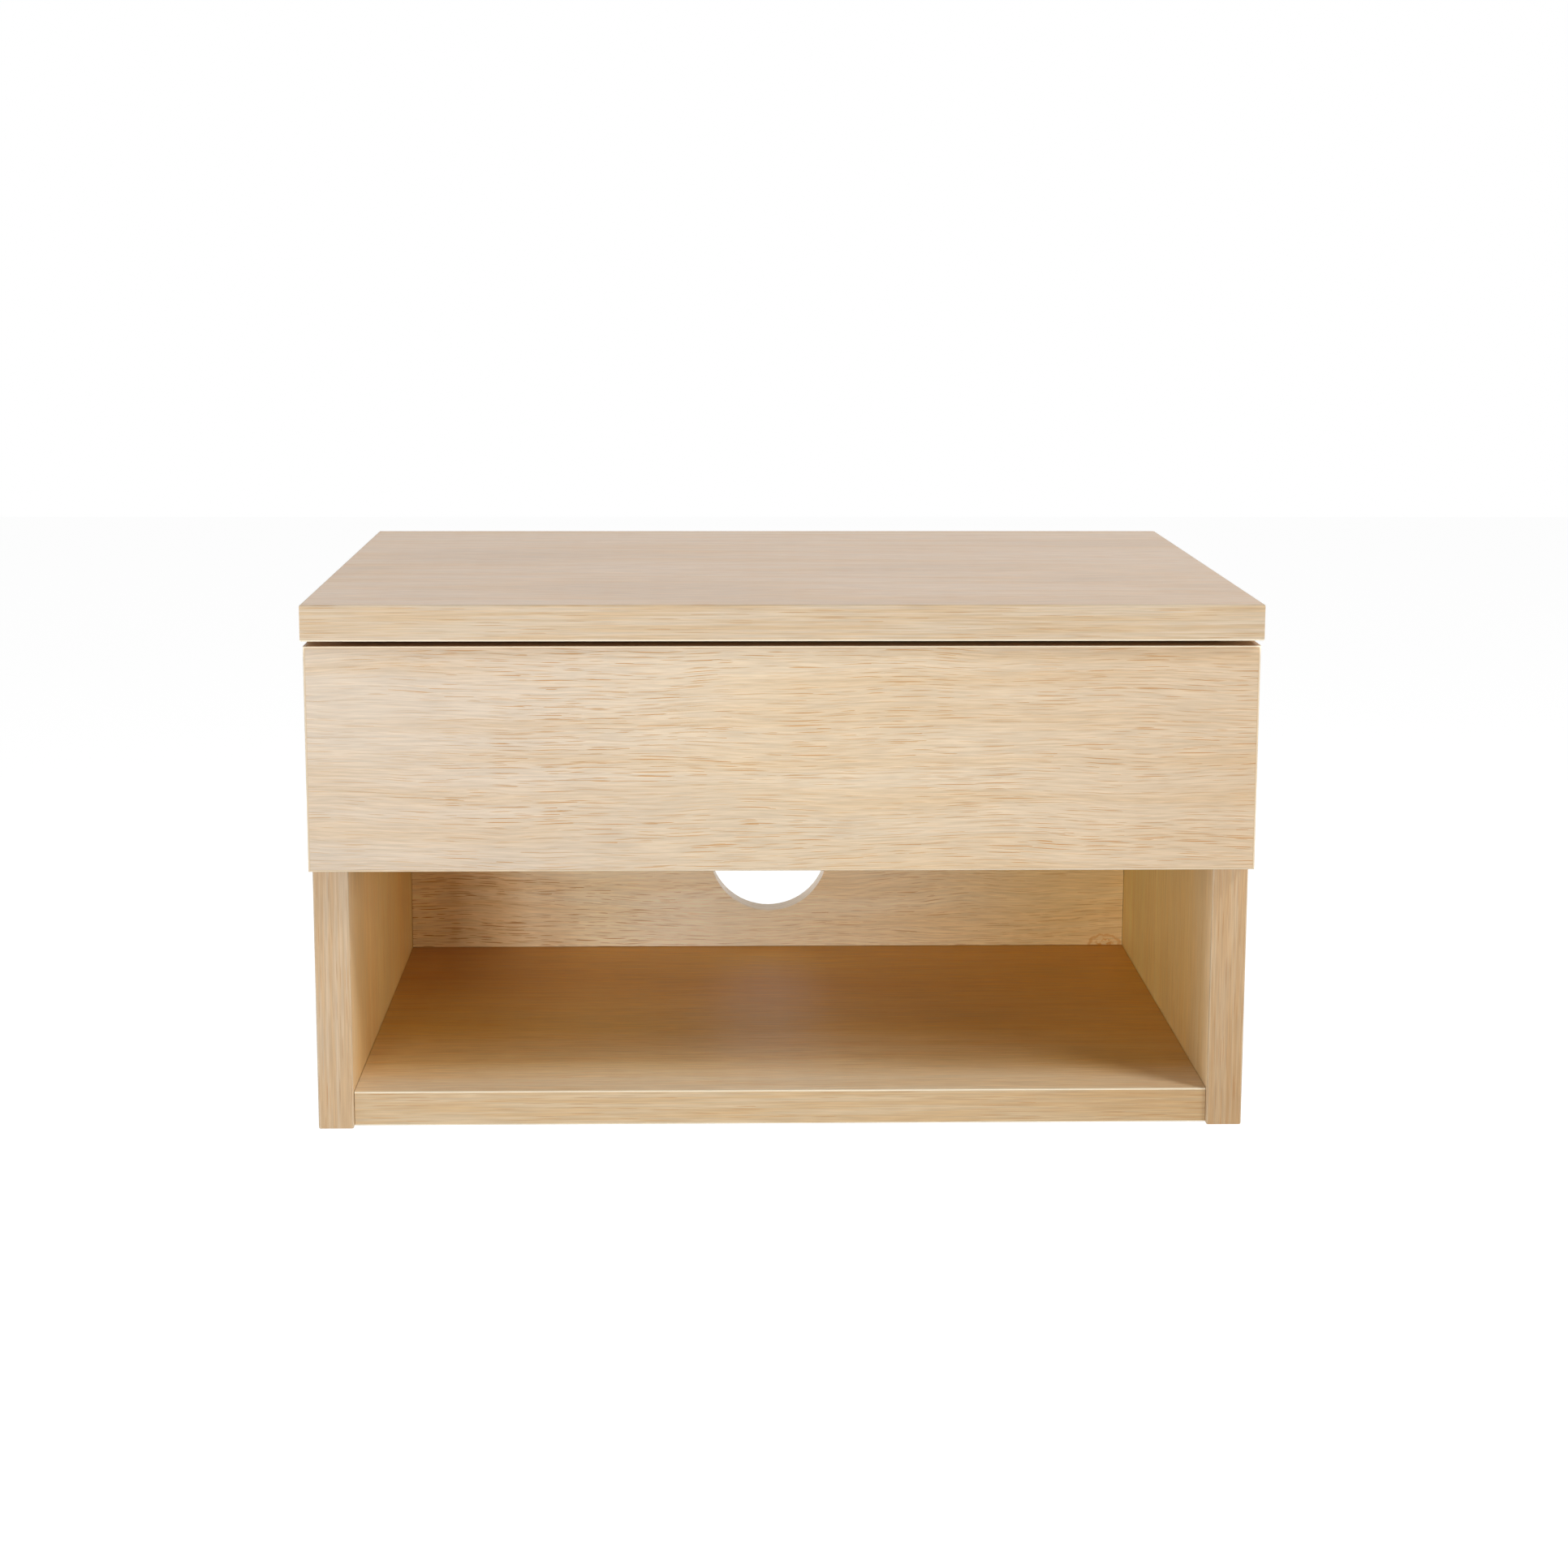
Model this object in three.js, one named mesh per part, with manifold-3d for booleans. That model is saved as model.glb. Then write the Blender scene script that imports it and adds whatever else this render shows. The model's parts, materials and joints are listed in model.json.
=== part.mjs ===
// Floating nightstand: a wall-hung case with one drawer over an open shelf. Lengths are millimetres.
// X runs to the right seen from the front, Y into the wall and Z up. The origin is the centre of the
// wall rail's rear face, which lies on the wall.
import * as THREE from 'three';
import { mergeVertices } from 'three/addons/utils/BufferGeometryUtils.js';
import Module from 'manifold-3d';

const wasm = await Module();
wasm.setup();

// Case
const width = 500;            // over the top panel and the side panels
const depth = 400;            // front edge of the top panel to the wall
const height = 287.6;         // top surface to the lower edges of the side panels
const board = 19;             // case boards and drawer front
const arris = 0.8;            // eased edge of a board
const boardGap = 0.3;         // hairline joint between two boards
const fit = 0.3;              // gap between fittings that touch
const overrun = 1;            // how far a cutter passes the face that it cuts
const shelfSetback = 2.6;     // side panels' front edges to the shelf's front edge
const shelfRise = 0.7;        // side panels' lower edges to the shelf's underside
const wallRecess = 10;        // back panel's rear face to the wall
const cableHoleRadius = 38;
const cableHoleHeight = 62;   // shelf's upper face to the middle of the cable hole

// Drawer front and box
const frontSetback = 6;       // top panel's front edge to the drawer front's face
const frontRearGap = 2.5;     // drawer front to the side panels' front edges
const frontEndInset = 0.6;    // each end of the drawer front inside the case's width
const frontTopGap = 3.3;      // top panel's underside to the drawer front's upper edge
const frontHeight = 119.4;
const boxBoard = 12;
const boxTopGap = 15;         // top panel's underside to the box's upper edge
const fingerRoom = 20;        // drawer front's lower edge to the box's lower edge
const boxRearMargin = 5;      // rear end of the slides to the rear end of the box
const bottomSheet = 4;
const grooveDepth = 5;        // groove for the bottom sheet
const grooveRise = 8;         // box's lower edge to the bottom sheet
const dadoDepth = 4;          // housing for the box's front and back in its sides

// Telescopic slides
const slideHeight = 45;
const slideStep = 50;         // slides are made in multiples of this length
const slideSetback = 2.5;     // side panels' front edges to the slides
const sheet = 1.2;            // steel of the three rails
const cageSheet = 0.6;        // steel of the ball cages
const ballRadius = 2;
const bendRadius = 1.4;       // middle line of the bends between web and flange
const crossover = 1.3;        // straight run between the middle rail's two raceways
const crimpLength = 4;        // end stops pressed into the raceways
const stopGap = 1;            // cage to end stop when the drawer is fully open
const slideScrewInset = 35;   // ends of a rail to its screws
const accessHoleRadius = 5;   // holes in the middle rail that let a screwdriver through
const slotLength = 9;         // oblong holes beside the screws, for setting the drawer true
const slotWidth = 4.6;
const slotOffset = 15;        // a screw to the middle of its oblong hole
const ballsPerRow = 5;
const windowMargin = 4;       // edge of a cage's web to its windows
const windowShare = 0.6;      // length of a cage's window, of the step between its balls
const cupAngle = 41;          // degrees that the middle rail wraps the outer balls
const caseLipAngle = 15;      // degrees above level where the case rail's lip ends
const middleLipAngle = 25;    // degrees above level where the middle rail's lip ends
const drawerLipAngle = 235;   // degrees where the drawer rail's lip ends, below its balls
const cageSlant = 25;         // degrees that the inner cage's flange slants
const cageReachShare = 0.8;   // how far a cage's flange passes the middle of its balls, of a radius
const crimpWidthShare = 1;    // width of an end stop, of a ball's radius
const crimpRiseShare = 0.8;   // height of an end stop, of a ball's radius

// Hanging rails
const railSheet = 3;
const railBase = 30;          // height of the flat base that is screwed on
const railLip = 12;           // height of the hooking lip
const railEndGap = 20;        // side panel to the ends of the rails
const railTopGap = 8;         // top panel's underside to the case rail
const wallHoleRadius = 2.75;
const railHolePlaces = 4;

// Cam fittings and screws
const camRadius = 7.5;
const camEdgeDistance = 24;   // board's end to the middle of the cam
const camFloor = 0.8;         // metal under the bolt's head
const camInset = 60;          // front and rear edges of a joint to its fittings
const camCrossLength = 8;
const camCrossWidth = 1.6;
const camCrossDepth = 3;
const boltShankRadius = 3.2;
const boltNeckRadius = 1.8;
const boltHeadLength = 3;
const boltNeckMargin = 1;     // neck in front of the cam's rim
const boltThreadRadius = 2.5;
const boltThreadLength = 10;
const tipTaper = 1.2;         // conical end of a bolt or screw
const flatHeadRadius = 4.2;
const flatThreadRadius = 2.9;
const caseScrewLength = 11;
const drawerScrewLength = 8;
const panHeadRadius = 4;
const panHeadHeight = 2.2;
const panThreadRadius = 2;
const frontScrewLength = 26;
const frontScrewEndInset = 60;
const frontScrewEdgeInset = 22;
const railScrewLength = 17;
const bumperRadius = 4;
const bumperEndInset = 9.5;   // end of the drawer front to the middle of a bumper
const bumperDrop = 14;        // drawer front's upper edge to the middle of a bumper

// Facets of round forms
const boreFacets = 12;
const fastenerFacets = 10;
const camFacets = 16;
const cableHoleFacets = 64;
const ballFacets = 6;
const ballRings = 4;
const slotFacets = 5;
const bendFacets = 3;
const lipFacets = 5;
const arrisFacets = 2;

// Places that follow from the sizes
const caseInner = width / 2 - board;
const railJog = wallRecess / 2;
const railLipFoot = railBase / 2 + railJog;
const railSeat = railSheet / Math.SQRT2 - railSheet / 2 - fit + fit * Math.SQRT2;
const railTurn = railLipFoot + railLip / 2 + railSeat / 2;
const topZ = 2 * railTurn + railBase / 2 + railTopGap + board;
const topUnder = topZ - board;
const sideLow = topZ - height;
const shelfLow = sideLow + shelfRise;
const shelfTop = shelfLow + board;
const frontFace = -depth + frontSetback;
const frontRear = frontFace + board;
const sideFront = frontRear + frontRearGap;
const backRear = -wallRecess;
const backFront = backRear - board;
const frontTop = topUnder - frontTopGap;
const frontLow = frontTop - frontHeight;
const boxTop = topUnder - boxTopGap;
const boxLow = frontLow + fingerRoom;
const boxMiddle = (boxTop + boxLow) / 2;
const slideFront = sideFront + slideSetback;
const slideLength = Math.floor((backFront - slideFront) / slideStep) * slideStep;
const slideRear = slideFront + slideLength;
const slideMiddle = (slideFront + slideRear) / 2;
const travel = slideLength;

// Slide section, seen from the front: x from the side panel to the drawer, y up from the middle
const raceway = ballRadius + fit + sheet / 2;
const caseWeb = sheet / 2;
const outerCageWeb = sheet + fit + cageSheet / 2;
const middleWeb = sheet + fit + cageSheet + fit + sheet / 2;
const innerCageWeb = middleWeb + sheet / 2 + fit + cageSheet / 2;
const outerBall = new THREE.Vector2(middleWeb + bendRadius, slideHeight / 2 - sheet / 2 - raceway);
const cupTurn = THREE.MathUtils.degToRad(cupAngle);
const innerBall = new THREE.Vector2(
  outerBall.x + 2 * raceway * Math.sin(cupTurn) + crossover * Math.cos(cupTurn),
  outerBall.y - 2 * raceway * Math.cos(cupTurn) + crossover * Math.sin(cupTurn),
);
const slideDepth = innerBall.x + raceway + sheet / 2;
const drawerWeb = slideDepth - sheet / 2;
const slideX = caseInner - fit;
const boxOuter = slideX - slideDepth - fit;
const boxInner = boxOuter - boxBoard;
const cageLength = slideLength / 2 - 2 * (crimpLength + stopGap);
const cageFront = slideFront + travel / 4 + crimpLength + stopGap;

// Box of the drawer, front to rear
const boxFrontFace = frontRear + boardGap;
const boxFrontRear = boxFrontFace + boxBoard;
const boxRear = slideRear + boxRearMargin;
const boxBackFront = boxRear - boxBoard;

// Finishes
const finish = (color, roughness, metalness) => () => (
  new THREE.MeshStandardMaterial({ color, roughness, metalness })
);
const oak = finish('#dccbb4', 0.55, 0);
const drawerBoard = finish('#d9c8b0', 0.6, 0);
const hardboard = finish('#cdbfa8', 0.7, 0);
const zincSteel = finish('#b9bcbe', 0.35, 1);
const cageSteel = finish('#a5a8aa', 0.3, 1);
const aluminium = finish('#c9cacb', 0.4, 1);
const zincCasting = finish('#9fa1a2', 0.5, 1);
const clearSilicone = finish('#e4e4e0', 0.3, 0);

const vector = (x, y, z) => new THREE.Vector3(x, y, z);
const alongX = vector(1, 0, 0);
const alongY = vector(0, 1, 0);
const alongZ = vector(0, 0, 1);
const noSpare = vector(0, 0, 0);

// A closed geometry as a solid, with its shared vertices merged and empty triangles left out.
function toSolid(source) {
  const bare = source.clone();
  bare.deleteAttribute('normal');
  bare.deleteAttribute('uv');
  const merged = mergeVertices(bare);
  const corners = merged.index.array;
  const kept = [];
  for (let i = 0; i < corners.length; i += 3) {
    const [a, b, c] = corners.slice(i, i + 3);
    if (a !== b && b !== c && c !== a) kept.push(a, b, c);
  }
  const vertProperties = new Float32Array(merged.attributes.position.array);
  return new wasm.Manifold(new wasm.Mesh({ numProp: 3, vertProperties, triVerts: new Uint32Array(kept) }));
}

// A solid as a geometry for a mesh.
function toGeometry(solid) {
  const mesh = solid.getMesh();
  const geometry = new THREE.BufferGeometry();
  geometry.setAttribute('position', new THREE.BufferAttribute(new Float32Array(mesh.vertProperties), 3));
  geometry.setIndex(new THREE.BufferAttribute(new Uint32Array(mesh.triVerts), 1));
  geometry.computeVertexNormals();
  return geometry;
}

const cut = (body, cutters) => cutters.reduce((left, cutter) => left.subtract(toSolid(cutter)), body);
const join = (body, added) => added.reduce((whole, piece) => whole.add(toSolid(piece)), body);

function addMesh(group, name, geometry, material) {
  const mesh = new THREE.Mesh(geometry, material);
  mesh.name = name;
  group.add(mesh);
  return mesh;
}

// A block between two corners.
function block(low, high) {
  const size = high.clone().sub(low);
  const middle = low.clone().add(high).divideScalar(2);
  return new THREE.BoxGeometry(size.x, size.y, size.z).translate(middle.x, middle.y, middle.z);
}

// A round rod or cone from one point to another.
function rod(from, to, radius, facets, endRadius = radius) {
  const run = to.clone().sub(from);
  const turn = new THREE.Quaternion().setFromUnitVectors(alongY, run.clone().normalize());
  const middle = from.clone().add(to).divideScalar(2);
  return new THREE.CylinderGeometry(endRadius, radius, run.length(), facets)
    .applyQuaternion(turn)
    .translate(middle.x, middle.y, middle.z);
}

// A board with eased edges about its middle. thin names the axis that its thickness lies along.
function plank(size, thin) {
  const axes = {
    x: [size.y, size.z, size.x, alongY, alongZ, alongX],
    y: [size.x, size.z, size.y, alongX, alongZ, alongY.clone().negate()],
    z: [size.x, size.y, size.z, alongX, alongY, alongZ],
  };
  const [across, up, thickness, acrossAxis, upAxis, thinAxis] = axes[thin];
  const x = across / 2 - arris;
  const y = up / 2 - arris;
  const corners = [[-x, -y], [x, -y], [x, y], [-x, y]].map(([a, b]) => new THREE.Vector2(a, b));
  return new THREE.ExtrudeGeometry(new THREE.Shape(corners), {
    depth: thickness - 2 * arris,
    bevelEnabled: true,
    bevelSize: arris,
    bevelThickness: arris,
    bevelSegments: arrisFacets,
  })
    .translate(0, 0, arris - thickness / 2)
    .applyMatrix4(new THREE.Matrix4().makeBasis(acrossAxis, upAxis, thinAxis));
}

// Blocks that trim the spare length off a board, so that it ends square at its corners.
function trims(low, high, spareLow, spareHigh) {
  const start = low.clone().sub(spareLow).subScalar(overrun);
  const end = high.clone().add(spareHigh).addScalar(overrun);
  return ['x', 'y', 'z'].flatMap((axis) => {
    const below = end.clone();
    const above = start.clone();
    below[axis] = low[axis];
    above[axis] = high[axis];
    const atLow = spareLow[axis] > 0 ? [block(start, below)] : [];
    const atHigh = spareHigh[axis] > 0 ? [block(above, end)] : [];
    return [...atLow, ...atHigh];
  });
}

// A board between two corners with its holes and grooves. Cutters are in the assembly's frame. Where it
// butts against another board its end is square: it is made longer by the spare there, then trimmed.
function addBoard(group, name, low, high, thin, material, cutters, spares = [noSpare, noSpare]) {
  const [spareLow, spareHigh] = spares;
  const size = high.clone().add(spareHigh).sub(low).add(spareLow);
  const middle = low.clone().sub(spareLow).add(high).add(spareHigh).divideScalar(2);
  const local = [...trims(low, high, spareLow, spareHigh), ...cutters]
    .map((cutter) => cutter.clone().translate(-middle.x, -middle.y, -middle.z));
  const body = cut(toSolid(plank(size, thin)), local);
  addMesh(group, name, toGeometry(body), material).position.copy(middle);
}

// Points of an arc in degrees.
function arc(centre, radius, from, to, steps) {
  return Array.from({ length: steps + 1 }, (_, i) => {
    const angle = THREE.MathUtils.degToRad(from + (to - from) * i / steps);
    return new THREE.Vector2(centre.x + radius * Math.cos(angle), centre.y + radius * Math.sin(angle));
  });
}

// The outline of a bent strip of even thickness about its middle line.
function stripShape(points, thickness) {
  const line = points.filter((point, i) => i === 0 || point.distanceTo(points[i - 1]) > thickness / 100);
  const side = (reach) => line.map((point, i) => {
    const into = point.clone().sub(line[Math.max(i - 1, 0)]).normalize();
    const out = line[Math.min(i + 1, line.length - 1)].clone().sub(point).normalize();
    const along = into.clone().add(out).normalize();
    const known = into.lengthSq() > 0 ? into : out;
    return new THREE.Vector2(-along.y, along.x).multiplyScalar(reach / along.dot(known)).add(point);
  });
  return new THREE.Shape([...side(thickness / 2), ...side(-thickness / 2).reverse()]);
}

// An outline in X and Z run along Y.
function runAlongY(shape, from, to) {
  return new THREE.ExtrudeGeometry(shape, { depth: to - from, bevelEnabled: false })
    .rotateX(Math.PI / 2)
    .translate(0, to, 0);
}

// An outline in Y and Z run along X, about the middle.
function runAlongX(shape, length) {
  return new THREE.ExtrudeGeometry(shape, { depth: length, bevelEnabled: false })
    .translate(0, 0, -length / 2)
    .applyMatrix4(new THREE.Matrix4().makeBasis(alongY, alongZ, alongX));
}

// A turned piece whose profile is given as radius and height pairs from the axis to the axis.
function turned(profile, facets) {
  return new THREE.LatheGeometry(profile.map(([radius, at]) => new THREE.Vector2(radius, at)), facets);
}

// Puts a turned piece at a point with its head end facing a direction.
function face(mesh, at, direction) {
  mesh.position.copy(at);
  mesh.quaternion.setFromUnitVectors(alongY, direction);
}

const panScrew = (length) => turned([
  [0, -length],
  [panThreadRadius, -length + tipTaper],
  [panThreadRadius, 0],
  [panHeadRadius, 0],
  [panHeadRadius, panHeadHeight / 2],
  [panHeadRadius / 2, panHeadHeight],
  [0, panHeadHeight],
], fastenerFacets);

const flatScrew = (length) => turned([
  [0, -length - sheet],
  [flatThreadRadius, -length - sheet + tipTaper],
  [flatThreadRadius, -sheet],
  [flatHeadRadius, 0],
  [0, 0],
], fastenerFacets);

// Case boards
const camDepth = board / 2 + boltShankRadius + camFloor;
const sides = [['left', -1], ['right', 1]];
const caseJointRows = [['front', sideFront + camInset], ['rear', backFront - camInset]];
const screwRows = [['front', slideFront + slideScrewInset], ['rear', slideRear - slideScrewInset]];
const railHoleStep = (2 * (caseInner - railEndGap)) / railHolePlaces;
const railHoles = Array.from(
  { length: railHolePlaces },
  (_, i) => (i + 1 / 2 - railHolePlaces / 2) * railHoleStep,
);
const caseRailMiddle = 2 * railTurn;

// A cam fitting's three bores: edge is where its bolt crosses the joint, inward leads to the cam and
// open faces the cam's open side.
function camBores(edge, inward, open) {
  const middle = edge.clone().addScaledVector(inward, camEdgeDistance);
  const surface = middle.clone().addScaledVector(open, board / 2 + overrun);
  const floor = middle.clone().addScaledVector(open, board / 2 - camDepth - fit);
  const edgeOut = edge.clone().addScaledVector(inward, -overrun);
  const threadEnd = edge.clone().addScaledVector(inward, -boltThreadLength - boardGap - fit);
  return {
    cam: rod(floor, surface, camRadius + fit, camFacets),
    shank: rod(edgeOut, middle, boltShankRadius + fit, boreFacets),
    thread: rod(threadEnd, edge, boltThreadRadius + fit, boreFacets),
  };
}

const down = alongZ.clone().negate();
const fittings = [];
for (const [sideName, sign] of sides) {
  for (const [rowName, y] of caseJointRows) {
    const toMiddle = vector(-sign, 0, 0);
    const topEdge = vector(sign * (caseInner + board / 2), y, topUnder - boardGap);
    const shelfEdge = vector(sign * (caseInner - boardGap), y, shelfLow + board / 2);
    const add = (joint, edge, inward, open) => {
      const bores = camBores(edge, inward, open);
      fittings.push({ joint, sideName, place: `${sideName}_${rowName}`, edge, inward, open, bores });
    };
    add('top', topEdge, down, toMiddle);
    add('shelf', shelfEdge, toMiddle, down);
  }
}
const ofJoint = (joint, sideName) => fittings.filter((fitting) => fitting.joint === joint
  && (!sideName || fitting.sideName === sideName));

function slidePilots(sign) {
  return screwRows.map(([, y]) => rod(
    vector(sign * (caseInner - overrun), y, boxMiddle),
    vector(sign * (caseInner + caseScrewLength), y, boxMiddle),
    flatThreadRadius + fit,
    boreFacets,
  ));
}

function addCase(group) {
  addBoard(
    group, 'top_panel',
    vector(-width / 2, -depth, topUnder), vector(width / 2, 0, topZ), 'z', oak(),
    ofJoint('top').map((fitting) => fitting.bores.thread),
  );
  for (const [sideName, sign] of sides) {
    const faces = [sign * width / 2, sign * caseInner].sort((a, b) => a - b);
    addBoard(
      group, `${sideName}_side_panel`,
      vector(faces[0], sideFront, sideLow), vector(faces[1], 0, topUnder - boardGap), 'x', oak(),
      [
        ...ofJoint('top', sideName).flatMap((fitting) => [fitting.bores.cam, fitting.bores.shank]),
        ...ofJoint('shelf', sideName).map((fitting) => fitting.bores.thread),
        ...slidePilots(sign),
      ],
      [noSpare, vector(0, 0, arris)],
    );
  }
  const shelfHalf = caseInner - boardGap;
  addBoard(
    group, 'bottom_shelf',
    vector(-shelfHalf, sideFront + shelfSetback, shelfLow), vector(shelfHalf, backRear, shelfTop),
    'z', oak(),
    ofJoint('shelf').flatMap((fitting) => [fitting.bores.cam, fitting.bores.shank]),
    [vector(arris, 0, 0), vector(arris, 0, 0)],
  );
  const holeZ = shelfTop + cableHoleHeight;
  const cableHole = rod(
    vector(0, backFront - overrun, holeZ), vector(0, backRear + overrun, holeZ),
    cableHoleRadius, cableHoleFacets,
  );
  const railPilots = railHoles.map((x) => rod(
    vector(x, backRear - railScrewLength, caseRailMiddle), vector(x, backRear + overrun, caseRailMiddle),
    panThreadRadius + fit, boreFacets,
  ));
  addBoard(
    group, 'back_panel',
    vector(-shelfHalf, backFront, shelfTop + boardGap),
    vector(shelfHalf, backRear, topUnder - boardGap), 'y', oak(),
    [cableHole, ...railPilots],
    [vector(arris, 0, arris), vector(arris, 0, arris)],
  );
}

// A cam about its own middle: Y leads out of its open face and Z to the joint.
function camSolid() {
  const top = board / 2;
  const drum = rod(vector(0, top - camDepth, 0), vector(0, top - fit, 0), camRadius, camFacets);
  const pocket = boltShankRadius + fit;
  const neck = boltNeckRadius + fit;
  const pocketReach = boltHeadLength / 2 + fit;
  const crossArms = [[camCrossLength, camCrossWidth], [camCrossWidth, camCrossLength]];
  return cut(toSolid(drum), [
    block(vector(-pocket, -pocket, -pocketReach), vector(pocket, pocket, pocketReach)),
    block(vector(-neck, -neck, 0), vector(neck, neck, camRadius + overrun)),
    ...crossArms.map(([x, z]) => block(
      vector(-x / 2, top - camCrossDepth, -z / 2), vector(x / 2, top + overrun, z / 2),
    )),
  ]);
}

// A cam bolt whose Y leads from the cam, at zero, into the other board.
function boltGeometry() {
  const head = boltHeadLength / 2;
  const shankStart = camRadius + boltNeckMargin;
  const threadStart = camEdgeDistance + boardGap;
  const end = threadStart + boltThreadLength;
  return turned([
    [0, -head],
    [boltShankRadius, -head],
    [boltShankRadius, head],
    [boltNeckRadius, head],
    [boltNeckRadius, shankStart],
    [boltShankRadius, shankStart],
    [boltShankRadius, camEdgeDistance - fit],
    [boltThreadRadius, camEdgeDistance],
    [boltThreadRadius, end - tipTaper],
    [0, end],
  ], fastenerFacets);
}

function addCamFittings(group) {
  for (const { joint, place, edge, inward, open } of fittings) {
    const middle = edge.clone().addScaledVector(inward, camEdgeDistance);
    const outward = inward.clone().negate();
    const sideways = new THREE.Vector3().crossVectors(open, outward);
    const cam = addMesh(group, `${joint}_cam_${place}`, toGeometry(camSolid()), zincCasting());
    cam.quaternion.setFromRotationMatrix(new THREE.Matrix4().makeBasis(sideways, open, outward));
    cam.position.copy(middle);
    const boltShape = toGeometry(toSolid(boltGeometry()));
    const bolt = addMesh(group, `${joint}_cam_bolt_${place}`, boltShape, zincSteel());
    face(bolt, middle, outward);
  }
}

// Hanging rails: one profile, hooked into its own half turn
function railShape() {
  const base = -railSheet / 2;
  const lip = base - railJog;
  return stripShape([
    new THREE.Vector2(base, -railBase / 2),
    new THREE.Vector2(base, railBase / 2),
    new THREE.Vector2(lip, railLipFoot),
    new THREE.Vector2(lip, railLipFoot + railLip),
  ], railSheet);
}

function addHangingRails(group) {
  const length = 2 * (caseInner - railEndGap);
  const rail = (radius) => cut(toSolid(runAlongX(railShape(), length)), railHoles.map((x) => rod(
    vector(x, -railSheet - overrun, 0), vector(x, overrun, 0), radius, boreFacets,
  )));
  addMesh(group, 'wall_rail', toGeometry(rail(wallHoleRadius)), aluminium());
  const caseRail = addMesh(
    group, 'case_hanging_rail', toGeometry(rail(panThreadRadius + fit)), aluminium(),
  );
  caseRail.position.set(0, backRear + fit, caseRailMiddle);
  caseRail.rotation.x = Math.PI;
  railHoles.forEach((x, i) => {
    const screw = addMesh(
      group, `rail_screw_${i + 1}`, toGeometry(toSolid(panScrew(railScrewLength))), zincSteel(),
    );
    face(screw, vector(x, backRear + fit + railSheet + fit, caseRailMiddle), alongY);
  });
}

// Drawer front, box and the screws that hold them together
const bottomLow = boxLow + grooveRise;
const bottomReach = boxInner + grooveDepth - fit;
const boxEnds = [['drawer_box_front', boxFrontFace, boxFrontRear], ['drawer_back', boxBackFront, boxRear]];
const frontScrewRows = [boxTop - frontScrewEdgeInset, boxLow + frontScrewEdgeInset];
const frontScrewPlaces = [-1, 1].flatMap((side) => frontScrewRows
  .map((z) => ({ x: side * (boxInner - frontScrewEndInset), z })));

function addDrawer(group) {
  const groove = block(
    vector(-boxInner - grooveDepth, boxFrontRear - grooveDepth, bottomLow - fit),
    vector(boxInner + grooveDepth, boxBackFront + grooveDepth, bottomLow + bottomSheet + fit),
  );
  const frontHalf = width / 2 - frontEndInset;
  addBoard(
    group, 'drawer_front',
    vector(-frontHalf, frontFace, frontLow), vector(frontHalf, frontRear, frontTop), 'y', oak(),
    frontScrewPlaces.map(({ x, z }) => rod(
      vector(x, boxFrontRear - frontScrewLength - fit, z), vector(x, frontRear + overrun, z),
      panThreadRadius + fit, boreFacets,
    )),
  );
  for (const [sideName, sign] of sides) {
    const faces = [sign * boxOuter, sign * boxInner].sort((a, b) => a - b);
    const housings = boxEnds.map(([, near, far]) => block(
      vector(-boxInner - dadoDepth, near - fit, boxLow - overrun),
      vector(boxInner + dadoDepth, far + fit, boxTop + overrun),
    ));
    const pilots = screwRows.map(([, y]) => rod(
      vector(sign * (boxOuter + overrun), y, boxMiddle),
      vector(sign * (boxOuter - drawerScrewLength - fit), y, boxMiddle),
      flatThreadRadius + fit, boreFacets,
    ));
    addBoard(
      group, `drawer_${sideName}_side`,
      vector(faces[0], boxFrontFace, boxLow), vector(faces[1], boxRear, boxTop), 'x', drawerBoard(),
      [groove, ...housings, ...pilots],
      [vector(0, arris, 0), noSpare],
    );
  }
  const endReach = boxInner + dadoDepth - fit;
  for (const [name, near, far] of boxEnds) {
    const holes = frontScrewPlaces.map(({ x, z }) => rod(
      vector(x, boxFrontFace - overrun, z), vector(x, boxFrontRear + overrun, z),
      panThreadRadius + fit, boreFacets,
    ));
    addBoard(
      group, name,
      vector(-endReach, near, boxLow), vector(endReach, far, boxTop), 'y', drawerBoard(),
      name === 'drawer_back' ? [groove] : [groove, ...holes],
      [vector(arris, 0, 0), vector(arris, 0, 0)],
    );
  }
  addMesh(group, 'drawer_bottom', block(
    vector(-bottomReach, boxFrontRear - grooveDepth + fit, bottomLow),
    vector(bottomReach, boxBackFront + grooveDepth - fit, bottomLow + bottomSheet),
  ), hardboard());
  frontScrewPlaces.forEach(({ x, z }, i) => {
    const screw = addMesh(
      group, `drawer_front_screw_${i + 1}`, toGeometry(toSolid(panScrew(frontScrewLength))), zincSteel(),
    );
    face(screw, vector(x, boxFrontRear + fit, z), alongY);
  });
  for (const [sideName, sign] of sides) {
    const rise = frontRearGap - 2 * fit;
    const dome = turned([
      [0, 0], [bumperRadius, 0], [bumperRadius, rise / 2], [bumperRadius / 2, rise], [0, rise],
    ], fastenerFacets);
    const bumper = addMesh(group, `bumper_${sideName}`, toGeometry(toSolid(dome)), clearSilicone());
    const x = sign * (frontHalf - bumperEndInset);
    face(bumper, vector(x, frontRear + fit, frontTop - bumperDrop), alongY);
  }
}

// Both halves of a slide section from the middle line of its upper half.
const wholeLine = (upper) => [...upper.map(({ x, y }) => new THREE.Vector2(x, -y)).reverse(), ...upper];

// A bend of the middle line from a web at x into a flange at y. turn is 1 to the right, -1 to the left.
const bend = (x, y, turn) => arc(
  { x: x + turn * bendRadius, y: y - bendRadius }, bendRadius, turn > 0 ? 180 : 0, 90, bendFacets,
);

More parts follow.
